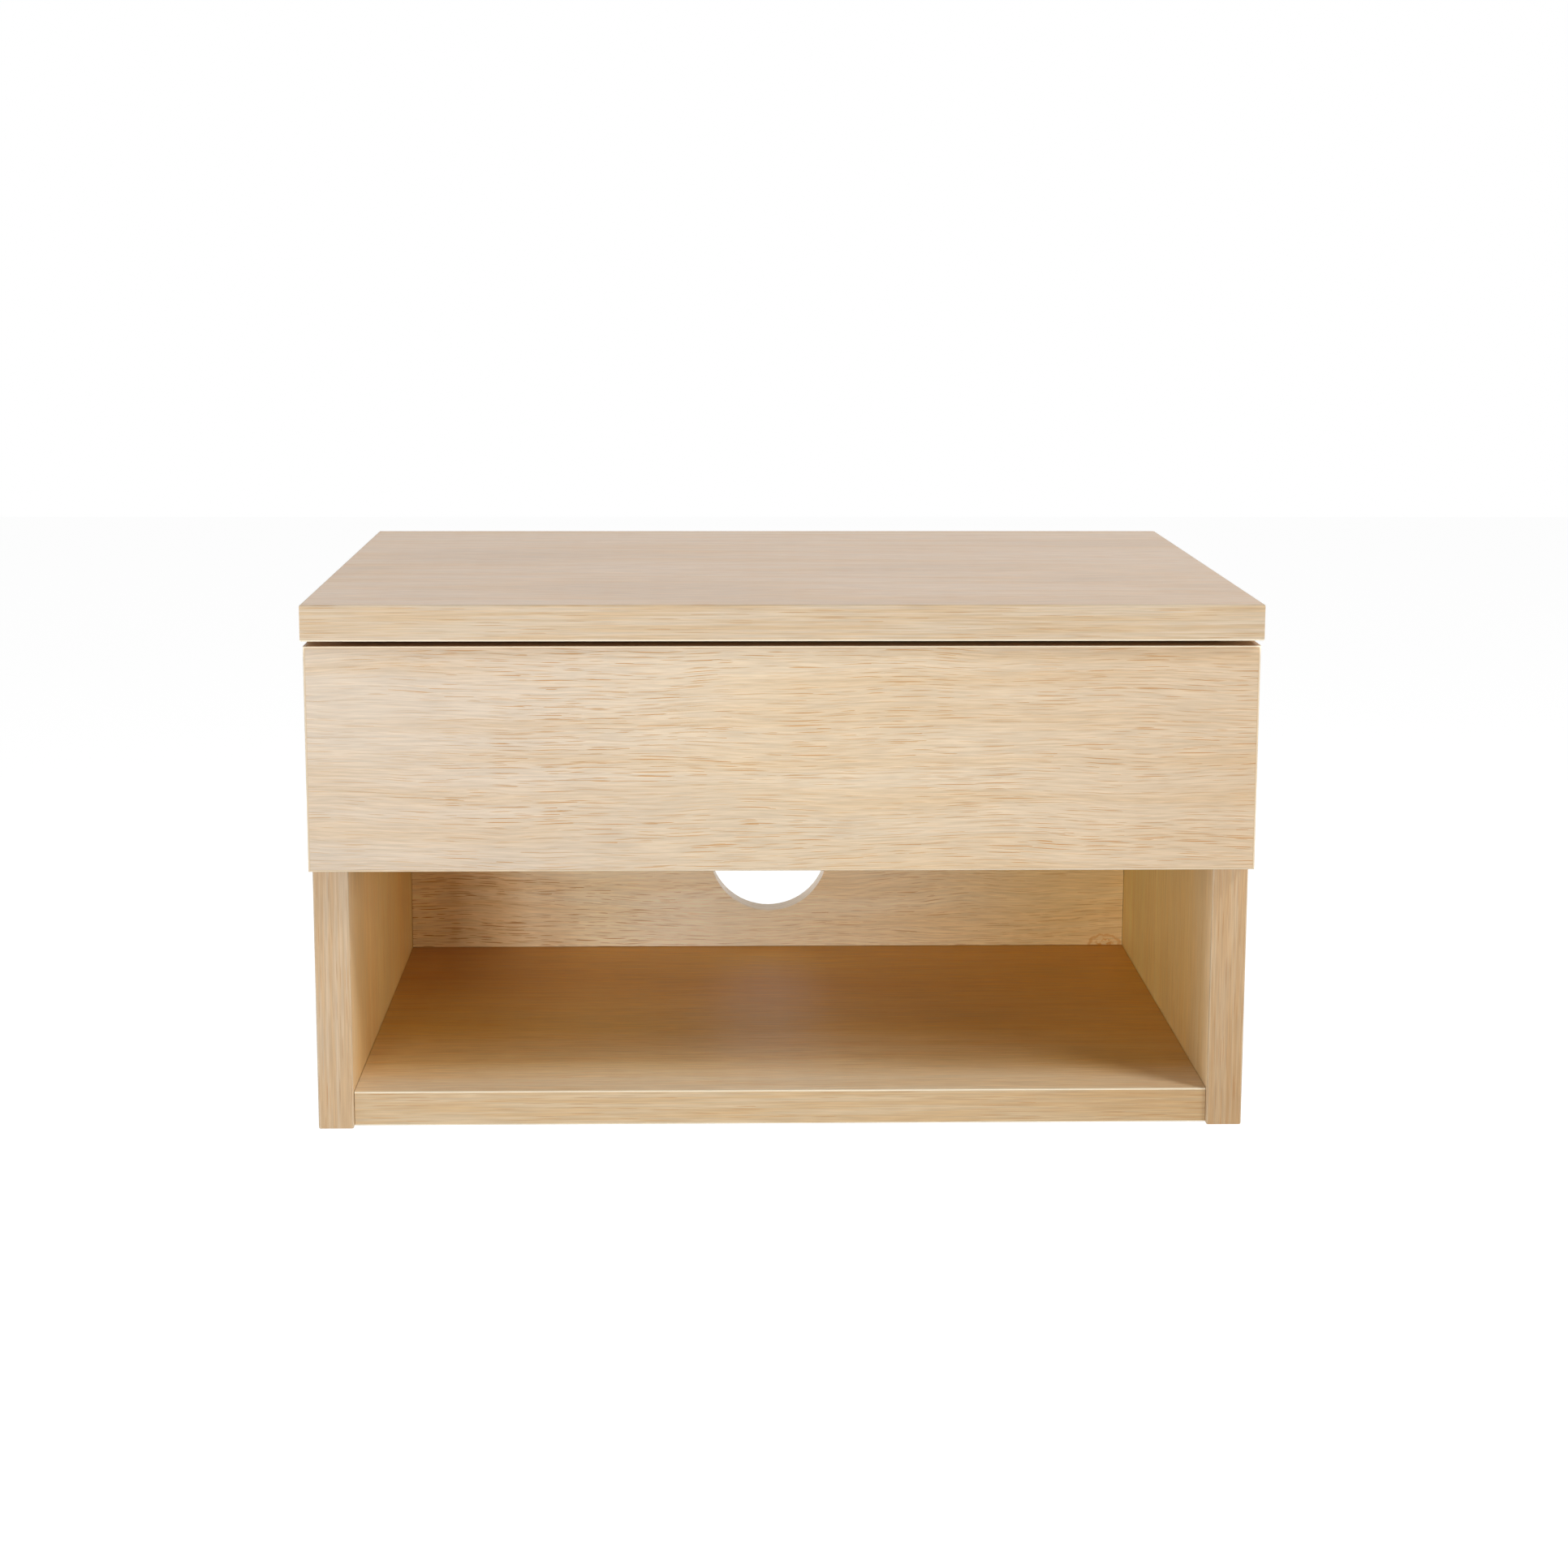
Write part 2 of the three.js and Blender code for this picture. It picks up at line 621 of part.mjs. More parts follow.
const cageTurn = THREE.MathUtils.degToRad(cageSlant);
const innerCageReach = innerBall.y - (innerBall.x - innerCageWeb) * Math.tan(cageTurn);
const sections = {
  caseRail: stripShape(wholeLine([
    ...bend(caseWeb, outerBall.y + raceway, 1),
    ...arc(outerBall, raceway, 90, caseLipAngle, lipFacets),
  ]), sheet),
  middleRail: stripShape(wholeLine([
    ...bend(middleWeb, outerBall.y - raceway, 1),
    ...arc(outerBall, raceway, 270, 270 + cupAngle, bendFacets),
    ...arc(innerBall, raceway, 90 + cupAngle, middleLipAngle, lipFacets),
  ]), sheet),
  drawerRail: stripShape(wholeLine([
    ...bend(drawerWeb, innerBall.y - raceway, -1),
    ...arc(innerBall, raceway, 270, drawerLipAngle, bendFacets),
  ]), sheet),
  outerCage: stripShape(wholeLine([
    ...bend(outerCageWeb, outerBall.y, 1),
    new THREE.Vector2(outerBall.x + ballRadius * cageReachShare, outerBall.y),
  ]), cageSheet),
  innerCage: stripShape(wholeLine([
    new THREE.Vector2(innerCageWeb, innerCageReach),
    new THREE.Vector2(Math.cos(cageTurn), Math.sin(cageTurn))
      .multiplyScalar(ballRadius * cageReachShare)
      .add(innerBall),
  ]), cageSheet),
};

// End stops pressed into the upper and lower raceways, on the side of the ball that rise points away from.
function crimps(ball, rise, from, to) {
  const half = ballRadius * crimpWidthShare / 2;
  const root = ball.y - rise * raceway;
  const tip = root + rise * (sheet / 2 + ballRadius * crimpRiseShare);
  return [1, -1].map((level) => {
    const [low, high] = [level * root, level * tip].sort((a, b) => a - b);
    return block(vector(ball.x - half, from, low), vector(ball.x + half, to, high));
  });
}

// Countersunk holes through a rail's web for its screws.
function screwHoles(outerFace, inward) {
  return screwRows.map(([, y]) => {
    const slope = (flatHeadRadius - flatThreadRadius) / sheet;
    const seat = flatThreadRadius + fit;
    const far = vector(outerFace + inward * (sheet + overrun), y, 0);
    const near = vector(outerFace - inward * overrun, y, 0);
    return rod(near, far, seat - slope * overrun, boreFacets, seat + slope * (sheet + overrun));
  });
}

// Oblong holes through a rail's web beside its screws, lying along the rail or standing upright.
function slots(web, upright) {
  const reach = (slotLength - slotWidth) / 2;
  const outline = new THREE.Shape([
    ...arc({ x: reach, y: 0 }, slotWidth / 2, -90, 90, slotFacets),
    ...arc({ x: -reach, y: 0 }, slotWidth / 2, 90, 270, slotFacets),
  ]);
  return screwRows.map(([, y]) => runAlongX(outline, sheet + 2 * overrun)
    .rotateX(upright ? Math.PI / 2 : 0)
    .translate(web, y + Math.sign(slideMiddle - y) * slotOffset, 0));
}

// Windows through a cage's web between its balls. reach is half the web's height.
function windows(web, reach) {
  const step = cageLength / ballsPerRow;
  const half = step * windowShare / 2;
  const height = reach - windowMargin;
  return Array.from({ length: ballsPerRow - 1 }, (_, i) => cageFront + (i + 1) * step).map((y) => block(
    vector(web - cageSheet, y - half, -height),
    vector(web + cageSheet, y + half, height),
  ));
}

function addSlide(group, sideName, sign) {
  const slide = new THREE.Group();
  slide.position.set(sign * slideX, 0, boxMiddle);
  slide.rotation.y = sign > 0 ? Math.PI : 0;
  group.add(slide);
  const rail = (section) => toSolid(runAlongY(section, slideFront, slideRear));
  const frontEnd = [slideFront, slideFront + crimpLength];
  const rearEnd = [slideRear - crimpLength, slideRear];

  const caseRail = cut(
    join(rail(sections.caseRail), crimps(outerBall, -1, ...frontEnd)),
    [...screwHoles(0, 1), ...slots(caseWeb, false)],
  );
  const accessHoles = screwRows.map(([, y]) => rod(
    vector(middleWeb - sheet, y, 0), vector(middleWeb + sheet, y, 0), accessHoleRadius, boreFacets,
  ));
  const middleRail = cut(join(rail(sections.middleRail), [
    ...crimps(outerBall, 1, ...rearEnd),
    ...crimps(innerBall, -1, ...frontEnd),
  ]), accessHoles);
  const drawerRail = cut(
    join(rail(sections.drawerRail), crimps(innerBall, 1, ...rearEnd)),
    [...screwHoles(slideDepth, -1), ...slots(drawerWeb, true)],
  );
  addMesh(slide, `${sideName}_slide_case_rail`, toGeometry(caseRail), zincSteel());
  addMesh(slide, `${sideName}_slide_middle_rail`, toGeometry(middleRail), zincSteel());
  addMesh(slide, `${sideName}_slide_drawer_rail`, toGeometry(drawerRail), zincSteel());

  for (const [cageName, section, ball, web, webReach] of [
    ['outer_cage', sections.outerCage, outerBall, outerCageWeb, outerBall.y - bendRadius],
    ['inner_cage', sections.innerCage, innerBall, innerCageWeb, innerCageReach],
  ]) {
    const step = cageLength / ballsPerRow;
    const balls = Array.from({ length: ballsPerRow }, (_, i) => cageFront + (i + 1 / 2) * step)
      .flatMap((y) => [1, -1].map((level) => new THREE.SphereGeometry(ballRadius, ballFacets, ballRings)
        .translate(ball.x, y, level * ball.y)));
    const strip = join(toSolid(runAlongY(section, cageFront, cageFront + cageLength)), balls);
    const cage = cut(strip, windows(web, webReach));
    addMesh(slide, `${sideName}_slide_${cageName}`, toGeometry(cage), cageSteel());
  }

  for (const [rowName, y] of screwRows) {
    const caseScrew = addMesh(
      slide, `${sideName}_slide_case_screw_${rowName}`,
      toGeometry(toSolid(flatScrew(caseScrewLength - fit))), zincSteel(),
    );
    face(caseScrew, vector(sheet, y, 0), alongX);
    const drawerScrew = addMesh(
      slide, `${sideName}_slide_drawer_screw_${rowName}`,
      toGeometry(toSolid(flatScrew(drawerScrewLength - fit))), zincSteel(),
    );
    face(drawerScrew, vector(slideDepth - sheet, y, 0), alongX.clone().negate());
  }
}

const nightstand = new THREE.Group();
addCase(nightstand);
addCamFittings(nightstand);
addHangingRails(nightstand);
addDrawer(nightstand);
for (const [sideName, sign] of sides) {
  addSlide(nightstand, sideName, sign);
}

export default nightstand;
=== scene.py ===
import json
import math
from typing import NamedTuple

import bpy
from mathutils import Matrix, Vector

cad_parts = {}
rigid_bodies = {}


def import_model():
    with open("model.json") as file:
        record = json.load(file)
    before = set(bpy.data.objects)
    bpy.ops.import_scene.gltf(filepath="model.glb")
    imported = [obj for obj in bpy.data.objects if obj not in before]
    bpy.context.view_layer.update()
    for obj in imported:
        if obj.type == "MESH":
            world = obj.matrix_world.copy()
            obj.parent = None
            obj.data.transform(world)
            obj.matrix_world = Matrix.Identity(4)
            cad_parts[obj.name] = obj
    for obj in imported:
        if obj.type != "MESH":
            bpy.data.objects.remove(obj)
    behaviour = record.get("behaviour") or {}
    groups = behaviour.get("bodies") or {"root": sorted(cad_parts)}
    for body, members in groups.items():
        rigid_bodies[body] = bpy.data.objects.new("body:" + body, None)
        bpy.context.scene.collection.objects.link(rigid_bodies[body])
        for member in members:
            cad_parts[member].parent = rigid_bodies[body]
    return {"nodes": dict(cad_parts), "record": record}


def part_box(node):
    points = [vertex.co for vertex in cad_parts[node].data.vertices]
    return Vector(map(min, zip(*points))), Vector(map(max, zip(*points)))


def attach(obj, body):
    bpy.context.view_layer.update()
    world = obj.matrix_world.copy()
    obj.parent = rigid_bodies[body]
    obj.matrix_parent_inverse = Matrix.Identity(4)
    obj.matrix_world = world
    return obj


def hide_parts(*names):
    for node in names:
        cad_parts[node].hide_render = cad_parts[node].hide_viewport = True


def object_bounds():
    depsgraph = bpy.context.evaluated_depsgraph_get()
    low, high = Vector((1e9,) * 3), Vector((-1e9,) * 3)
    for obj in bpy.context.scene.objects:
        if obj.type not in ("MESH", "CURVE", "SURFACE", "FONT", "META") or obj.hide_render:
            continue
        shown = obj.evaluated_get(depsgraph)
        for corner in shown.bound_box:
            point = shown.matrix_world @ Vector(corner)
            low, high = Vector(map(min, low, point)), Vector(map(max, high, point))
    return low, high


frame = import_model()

cad_low, cad_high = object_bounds()
MM = 0.001
AXES = {"x": 0, "y": 1, "z": 2}
TO_WALL = Vector((0, 1, 0))

# Camera, measured from the middle of the top panel's upper front edge
CAMERA_RIGHT = -0.04095
CAMERA_BACK = 1.58071
CAMERA_RISE = 0.18929
CAMERA_YAW = math.radians(1.49)
CAMERA_PITCH = math.radians(10.16)
CAMERA_ROLL = math.radians(0.14)
CAMERA_LENS = 70.62           # in mm, as is the sensor
CAMERA_SENSOR = 36.0

# Surroundings. A lamp is its place, its width and height, its power in watts and its colour.
LAMPS = {
    "low_front_lamp": ((-0.60, -2.90, 0.10), (0.35, 0.35), 24.5, (1.00, 1.00, 1.00)),
    "left_lamp": ((-2.20, -1.20, 0.00), (0.90, 1.20), 11.5, (0.96, 1.00, 1.08)),
    "right_lamp": ((2.20, -0.90, 0.00), (0.50, 1.20), 4.5, (1.00, 0.96, 0.88)),
    "far_right_lamp": ((2.80, -2.80, 0.60), (1.20, 1.20), 25.0, (1.00, 0.97, 0.90)),
    "high_right_lamp": ((1.93, -1.87, 2.43), (0.90, 0.90), 44.0, (1.00, 1.00, 1.00)),
    "top_lamp": ((0.00, 0.90, 1.60), (1.60, 1.00), 4.0, (1.00, 1.00, 1.00)),
    "rear_lamp": ((0.00, 2.60, -0.10), (3.00, 0.70), 12.0, (1.00, 0.98, 0.94)),
}
WHITE = (1.0, 1.0, 1.0)
AMBIENT = 0.27                # strength of the even light from all round
FLOOR_DROP = 0.34             # lower edge of the case to the floor
FLOOR_SIZE = 14.0
FLOOR_COLOUR = (0.90, 0.90, 0.90)
FLOOR_GLOW = 0.88             # white that the camera sees in the floor whatever falls on it
FLOOR_SHARE = 0.35            # share of the light on the floor that the camera sees on top of it
FLOOR_SPECULAR = 0.2
FLOOR_CLOUDS = 30.0           # in one metre
FLOOR_ROUGHNESS = (0.75, 0.85)

# Tones of the oak-effect board. Colours are linear red, green and blue. A tone that drifts is an axis,
# then the colours at rising shares of the case's size along it. The drawer front's top is at GAP_SHARE of
# the height, and the back panel's thickness lies round PANEL_SHARE of the depth. Several tones also carry
# painted light and shade on top of the board's colour, and each says so where it stands.
GAP_SHARE = 0.922
PANEL_SHARE = 0.95
OUTSIDE_TONE = (0.58, 0.45, 0.32)
# The top's upper face is paler than the board's outside: painted light, because the lamps light it less than
# the front faces.
TOP_TONE_AND_PAINTED_LIGHT = (0.77, 0.59, 0.435)
FRONT_TONE = (
    "x", (0.0, (0.560, 0.460, 0.350)), (0.15, (0.560, 0.455, 0.342)), (0.5, (0.600, 0.480, 0.335)),
    (1.0, (0.550, 0.420, 0.282)))
# The niche's inside faces: the board's colour with painted light and shade, darker where the niche's shadows
# fall and more golden towards the back, where painted bounced light stands in; past the back panel it is the
# outside tone again.
LEFT_INSIDE_TONE_AND_SHADE = (
    "y", (0.05, (0.83, 0.63, 0.39)), (0.18, (0.81, 0.55, 0.25)), (0.32, (0.89, 0.59, 0.24)),
    (0.50, (0.97, 0.70, 0.29)), (0.75, (0.97, 0.64, 0.22)), (0.93, (0.97, 0.70, 0.28)),
    (PANEL_SHARE, OUTSIDE_TONE))
RIGHT_INSIDE_TONE_AND_SHADE = (
    "y", (0.05, (0.89, 0.67, 0.40)), (0.15, (0.70, 0.50, 0.24)), (0.30, (0.75, 0.51, 0.19)),
    (0.60, (0.95, 0.73, 0.28)), (0.75, (0.97, 0.79, 0.31)), (0.93, (0.97, 0.78, 0.30)),
    (PANEL_SHARE, OUTSIDE_TONE))
# Painted light and shade on the back panel's face in the niche: darker near the left end, where the left
# side panel's shadow falls, palest in the middle, deeper and more golden at the right.
BACK_TONE_AND_SHADE = (
    "x", (0.05, (0.96, 0.70, 0.35)), (0.14, (0.79, 0.55, 0.27)), (0.21, (0.82, 0.65, 0.41)),
    (0.28, (0.94, 0.82, 0.57)), (0.37, (0.97, 0.86, 0.64)), (0.60, (0.95, 0.79, 0.53)),
    (0.90, (0.82, 0.59, 0.26)))
# Pale edges of the back panel: painted light, so that the cable hole's bore, which lies in shade, reads
# bright.
BORE_TONE_AND_LIGHT = (0.95, 0.82, 0.62)
# Painted light and shade on the shelf's top: paler in a lit band at the front, darker and more golden
# towards the back, where the drawer's shadow falls, and darker towards the right side panel, in its shadow.
SHELF_FRONT_TONE_AND_SHADE = ("x", (0.80, (0.88, 0.71, 0.48)), (0.93, (0.76, 0.57, 0.36)))
SHELF_NEAR_TONE_AND_SHADE = (
    "x", (0.10, (0.85, 0.58, 0.25)), (0.35, (0.95, 0.70, 0.36)), (0.55, (0.93, 0.68, 0.37)),
    (0.72, (0.80, 0.54, 0.25)), (0.90, (0.64, 0.38, 0.11)))
SHELF_MIDDLE_TONE_AND_SHADE = (
    "x", (0.10, (0.70, 0.41, 0.095)), (0.30, (0.86, 0.54, 0.15)), (0.50, (0.78, 0.47, 0.145)),
    (0.75, (0.68, 0.37, 0.075)))
SHELF_FAR_TONE_AND_SHADE = (
    "x", (0.10, (0.58, 0.29, 0.05)), (0.30, (0.84, 0.45, 0.075)), (0.50, (0.80, 0.42, 0.06)),
    (0.80, (0.76, 0.40, 0.05)))
SHELF_TONE_AND_SHADE = (
    "y", (0.10, SHELF_FRONT_TONE_AND_SHADE), (0.24, SHELF_NEAR_TONE_AND_SHADE), (0.43, SHELF_MIDDLE_TONE_AND_SHADE),
    (0.75, SHELF_FAR_TONE_AND_SHADE))
TOP_EDGE_TONE = (0.545, 0.42, 0.280)
LEFT_EDGE_TONE = (0.500, 0.355, 0.212)
RIGHT_EDGE_TONE = ("z", (0.0, (0.42, 0.27, 0.135)), (0.6, (0.505, 0.35, 0.200)))
# The drawer front's top edge, which faces the gap under the top panel, turns orange-brown: painted shade,
# the warm bounced light in that gap.
FRONT_EDGE_TONE_AND_GAP_SHADE = ("z", (0.90, (0.570, 0.450, 0.315)), (GAP_SHARE, (0.60, 0.36, 0.17)))
SHELF_EDGE_TONE = ("x", (0.55, (0.52, 0.375, 0.215)), (1.0, (0.455, 0.30, 0.145)))

# Numbers that drift in the same way: how strong the pores are, and how pale the eased edges. That paleness
# is partly a paler milled band and partly a painted highlight, strongest on the arrises beside the gap under
# the top panel.
FRONT_PORES = ("x", (0.0, 0.55), (0.10, 0.65), (0.15, 1.40), (0.40, 1.30), (0.60, 1.20))
BACK_PORES = ("x", (0.10, 1.40), (0.26, 1.10), (0.42, 0.65), (0.85, 0.75))
TOP_EASING_AND_HIGHLIGHT = ("z", (0.94, 0.80), (0.99, 0.0))
FRONT_EASING_AND_HIGHLIGHT = ("z", (0.90, 0.30), (GAP_SHARE, 0.90))

# The print multiplies a tone by one of these
PALE = (1.05, 1.06, 1.08)
WARM = (1.01, 0.95, 0.86)
GREY = (0.94, 0.97, 1.03)
PORE = (0.80, 0.47, 0.13)
DARK_PORE = (0.58, 0.33, 0.11)

# Colours of the dark line beside an edge band, and of an eased edge where it is palest: a paler milled band
# with a painted highlight
SEAM = (0.42, 0.27, 0.13)
EASED_PALE_AND_HIGHLIGHT = (0.95, 0.88, 0.70)


class Pattern(NamedTuple):
    """Noise that can be drawn out along the grain."""
    length: float             # along the grain
    width: float              # across it
    seed: float               # shifts it, on top of the board's own seed
    detail: float = 2.0
    roughness: float = 0.5


class Pores(NamedTuple):
    """Short dark strokes along the grain, at most one to a cell."""
    cell_length: float
    cell_width: float
    reach: float              # from the middle of the largest pore to its end
    thickness: float          # from its middle to its side
    share: float              # share of the cells with more than the faintest pore
    seed: float               # shifts them, on top of the board's own seed


# Print on a board's faces. A range gives the values of a pattern where its effect starts and is full, and
# then the effect at each, if that isn't 0 and 1. A pattern's values lie round MIDDLE.
MIDDLE = 0.5
MOST = (0.3, 0.7)             # the range that holds most values of a pattern
SWAY = Pattern(160.0 * MM, 60.0 * MM, 0.0, 1.0)
RIPPLE = Pattern(45.0 * MM, 14.0 * MM, 4.9, 1.0)
RIPPLE_SHARE = 0.2            # how far a ripple bends the grain, of a sway
CLOUD = Pattern(220.0 * MM, 90.0 * MM, 3.1, 1.0)
BAND = Pattern(300.0 * MM, 11.0 * MM, 1.3)
STREAK = Pattern(45.0 * MM, 1.6 * MM, 5.7, 2.0, 0.6)
FIBRE = Pattern(20.0 * MM, 0.8 * MM, 8.3, 2.0, 0.6)
CROWD = Pattern(75.0 * MM, 22.0 * MM, 1.9, 1.0)
WARM_RANGE = (0.75, 1.25)     # of cloud and band added up
GREY_RANGE = (0.5, 0.7, 0.0, 0.5)
STREAK_SHADE = (0.32, 0.68, 1.045, 0.93)
FIBRE_SHADE = (*MOST, 0.93, 1.06)
CROWD_RANGE = (0.32, 0.58, 0.45, 1.0)
LONG_PORES = Pores(26.0 * MM, 2.2 * MM, 16.5 * MM, 0.24 * MM, 0.95, 2.3)
SHORT_PORES = Pores(13.0 * MM, 1.7 * MM, 7.5 * MM, 0.21 * MM, 0.70, 6.1)
SHORT_PORE_STRENGTH = 0.75
SHORTEST_SHARE = 0.45         # size of the smallest pore, of the largest
PORE_CORE_SHARE = 0.25        # darkest part of a pore, of its reach squared
FAINTEST_PORE = 0.15
FACE_SHIFT = 310.0 * MM       # shift of the print along the grain, ahead on a high face, back on a low one

# Band on a board's edges
EDGE_STREAK = Pattern(110.0 * MM, 2.4 * MM, 0.0, 2.0, 0.6)
EDGE_FIBRE = Pattern(30.0 * MM, 0.75 * MM, 4.4, 2.0, 0.6)
EDGE_PORES = Pores(22.0 * MM, 1.9 * MM, 12.0 * MM, 0.26 * MM, 0.80, 7.7)
EDGE_WARM_RANGE = (0.35, 0.65)
EDGE_STREAK_SHADE = (0.35, 0.65, 1.07, 0.95)
EDGE_FIBRE_SHADE = (*MOST, 0.90, 1.08)
EDGE_PORE_STRENGTH = 0.55
EDGE_SEED = 11.0              # shifts the band's print, on top of the board's own seed
EDGE_BAND = 1.0 * MM          # thickness of the band
SEAM_REACH = 1.4 * MM         # from the rim to where the dark line beside the band has faded
SEAM_STRENGTH = 0.4

# Surface of a board. It is square to an axis where its normal's part along that axis is over SQUARE, and an
# eased edge where the part across the board's thickness is between EASED_LOW and EASED_HIGH.
SQUARE = 0.7
EASED_LOW = 0.2
EASED_HIGH = 0.98
OAK_ROUGHNESS = (0.2, 0.8, 0.44, 0.56)
PRINT_DEPTH = 0.06 * MM
FIBRE_RISE_SHARE = 0.25       # height of a fibre, of a pore's depth

# Printed knot low on the back panel's front face, at its right end. Ranges are in knot radii.
KNOT_IN = 12.0 * MM           # middle of the knot to the side panel
KNOT_RISE = 0.5 * MM          # middle of the knot over the shelf
KNOT_HALF_WIDTH = 10.0 * MM
KNOT_HALF_HEIGHT = 6.5 * MM
KNOT_WAVER = Pattern(3.2 * MM, 3.2 * MM, 3.0)
KNOT_UNEVENNESS = 0.35        # how far the waver bends the knot's outline
ARC_INSIDE = (0.82, 0.97)
ARC_OUTSIDE = (1.15, 1.0)
ARC_STRENGTH = 0.6
SPOT_REACH = (0.80, 0.50)
SPOT_RANGE = (0.46, 0.62)     # in values of the waver
SPOT_STRENGTH = 0.9


class Board(NamedTuple):
    """How a board lies and is printed. The low tone is for its face towards the low end of the axis across
    its thickness, the high tone for the other face, and the edge tone for its edges. A tone, the pores and
    the easing can drift."""
    node: str
    thin: str                 # axis across its thickness
    grain: str                # axis along its grain
    seed: float
    # a tone can carry painted light and shade as well as the board's colour
    low_tone: tuple
    high_tone: tuple
    edge_tone: tuple
    bend: float               # how far its grain sways
    pores: object             # strength of its pores
    easing: object            # how pale its eased edges are, 0 to 1: a paler milled band and a painted highlight
    coarse: float = 1.0       # pores this much shorter and thicker
    pore_colour: tuple = PORE
    banded: bool = False      # whether the edge band's seam shows round its faces
    knotted: bool = False


BOARDS = (
    Board("top_panel", thin="z", grain="x", seed=1.0, low_tone=OUTSIDE_TONE, high_tone=TOP_TONE_AND_PAINTED_LIGHT,
          edge_tone=TOP_EDGE_TONE, bend=8.0 * MM, pores=0.75, easing=TOP_EASING_AND_HIGHLIGHT),
    Board("left_side_panel", thin="x", grain="z", seed=23.0, low_tone=OUTSIDE_TONE,
          high_tone=LEFT_INSIDE_TONE_AND_SHADE, edge_tone=LEFT_EDGE_TONE, bend=7.0 * MM, pores=0.65, easing=0.12),
    Board("right_side_panel", thin="x", grain="z", seed=37.0, low_tone=RIGHT_INSIDE_TONE_AND_SHADE,
          high_tone=OUTSIDE_TONE, edge_tone=RIGHT_EDGE_TONE, bend=7.0 * MM, pores=0.65, easing=0.12),
    Board("bottom_shelf", thin="z", grain="x", seed=51.0, low_tone=OUTSIDE_TONE, high_tone=SHELF_TONE_AND_SHADE,
          edge_tone=SHELF_EDGE_TONE, bend=9.0 * MM, pores=0.75, easing=0.6),
    Board("back_panel", thin="y", grain="x", seed=64.0, low_tone=BACK_TONE_AND_SHADE, high_tone=OUTSIDE_TONE,
          edge_tone=BORE_TONE_AND_LIGHT, bend=14.0 * MM, pores=BACK_PORES, easing=0.3, coarse=1.35,
          pore_colour=DARK_PORE, knotted=True),
    Board("drawer_front", thin="y", grain="x", seed=79.0, low_tone=FRONT_TONE, high_tone=OUTSIDE_TONE,
          edge_tone=FRONT_EDGE_TONE_AND_GAP_SHADE, bend=9.0 * MM, pores=FRONT_PORES, easing=FRONT_EASING_AND_HIGHLIGHT, banded=True),
)

# Plain boards of the drawer box: thin axis, grain axis, seed, colour and roughness
DRAWER_BOARD_COLOUR = (0.79, 0.64, 0.46)
PLAIN_BOARDS = {
    "drawer_board_side": ("x", "y", 5.0, DRAWER_BOARD_COLOUR, 0.5),
    "drawer_board_end": ("y", "x", 9.0, DRAWER_BOARD_COLOUR, 0.5),
    "hardboard_sheet": ("z", "x", 13.0, (0.68, 0.54, 0.39), 0.6),
}
PLAIN_NODES = {
    "drawer_left_side": "drawer_board_side",
    "drawer_right_side": "drawer_board_side",
    "drawer_box_front": "drawer_board_end",
    "drawer_back": "drawer_board_end",
    "drawer_bottom": "hardboard_sheet",
}
PLAIN_STREAK = Pattern(120.0 * MM, 4.0 * MM, 0.0, 3.0, 0.6)
PLAIN_FLECK = Pattern(12.0 * MM, 1.2 * MM, 2.0)
PLAIN_DARKER = 0.86           # colour of a streak, of the board's own
PLAIN_FLECK_RANGE = (0.2, 0.8)
PLAIN_UNEVENNESS = 0.06       # of the roughness, up and down
PLAIN_DEPTH = 0.04 * MM


class Metal(NamedTuple):
    """A metal with drawn lines along one axis."""
    colour: tuple
    roughness: float
    drawn: str                # axis along the lines
    lines: Pattern
    depth: float = 0.02 * MM


METALS = {
    "zinc_steel": Metal((0.58, 0.60, 0.62), 0.30, "y", Pattern(50.0 * MM, 0.8 * MM, 2.0)),
    "cage_steel": Metal((0.50, 0.51, 0.53), 0.32, "y", Pattern(30.0 * MM, 0.6 * MM, 3.0)),
    "aluminium_rail": Metal((0.56, 0.57, 0.58), 0.38, "x", Pattern(200.0 * MM, 0.5 * MM, 4.0)),
    "zinc_casting": Metal((0.40, 0.41, 0.43), 0.45, "z", Pattern(3.0 * MM, 2.0 * MM, 5.0), 0.05 * MM),
    "ball_steel": Metal((0.72, 0.72, 0.73), 0.16, "y", Pattern(4.0 * MM, 2.0 * MM, 6.0)),
}
METAL_CLOUDS = 160.0          # in one metre
METAL_DARKER = 0.9            # colour of a cloud, of the metal's own
SHEEN_RANGE = (0.6, 1.4)      # of lines and clouds added up
SHEEN_CHANGE = (-0.05, 0.06)  # of the roughness

SILICONE_COLOUR = (0.86, 0.87, 0.84)
SILICONE_IOR = 1.41
SILICONE_CLEARNESS = 0.7
SILICONE_ROUGHNESS = (0.18, 0.30)
SILICONE_CLOUDS = 900.0       # in one metre
SILICONE_DEPTH = 0.02 * MM


class Head(NamedTuple):
    """A screw's head and the thread under it."""
    radius: float
    height: float
    crown: float              # how far its top rounds off
    upright: bool             # whether its side is upright, and not a cone down to the thread
    thread_radius: float


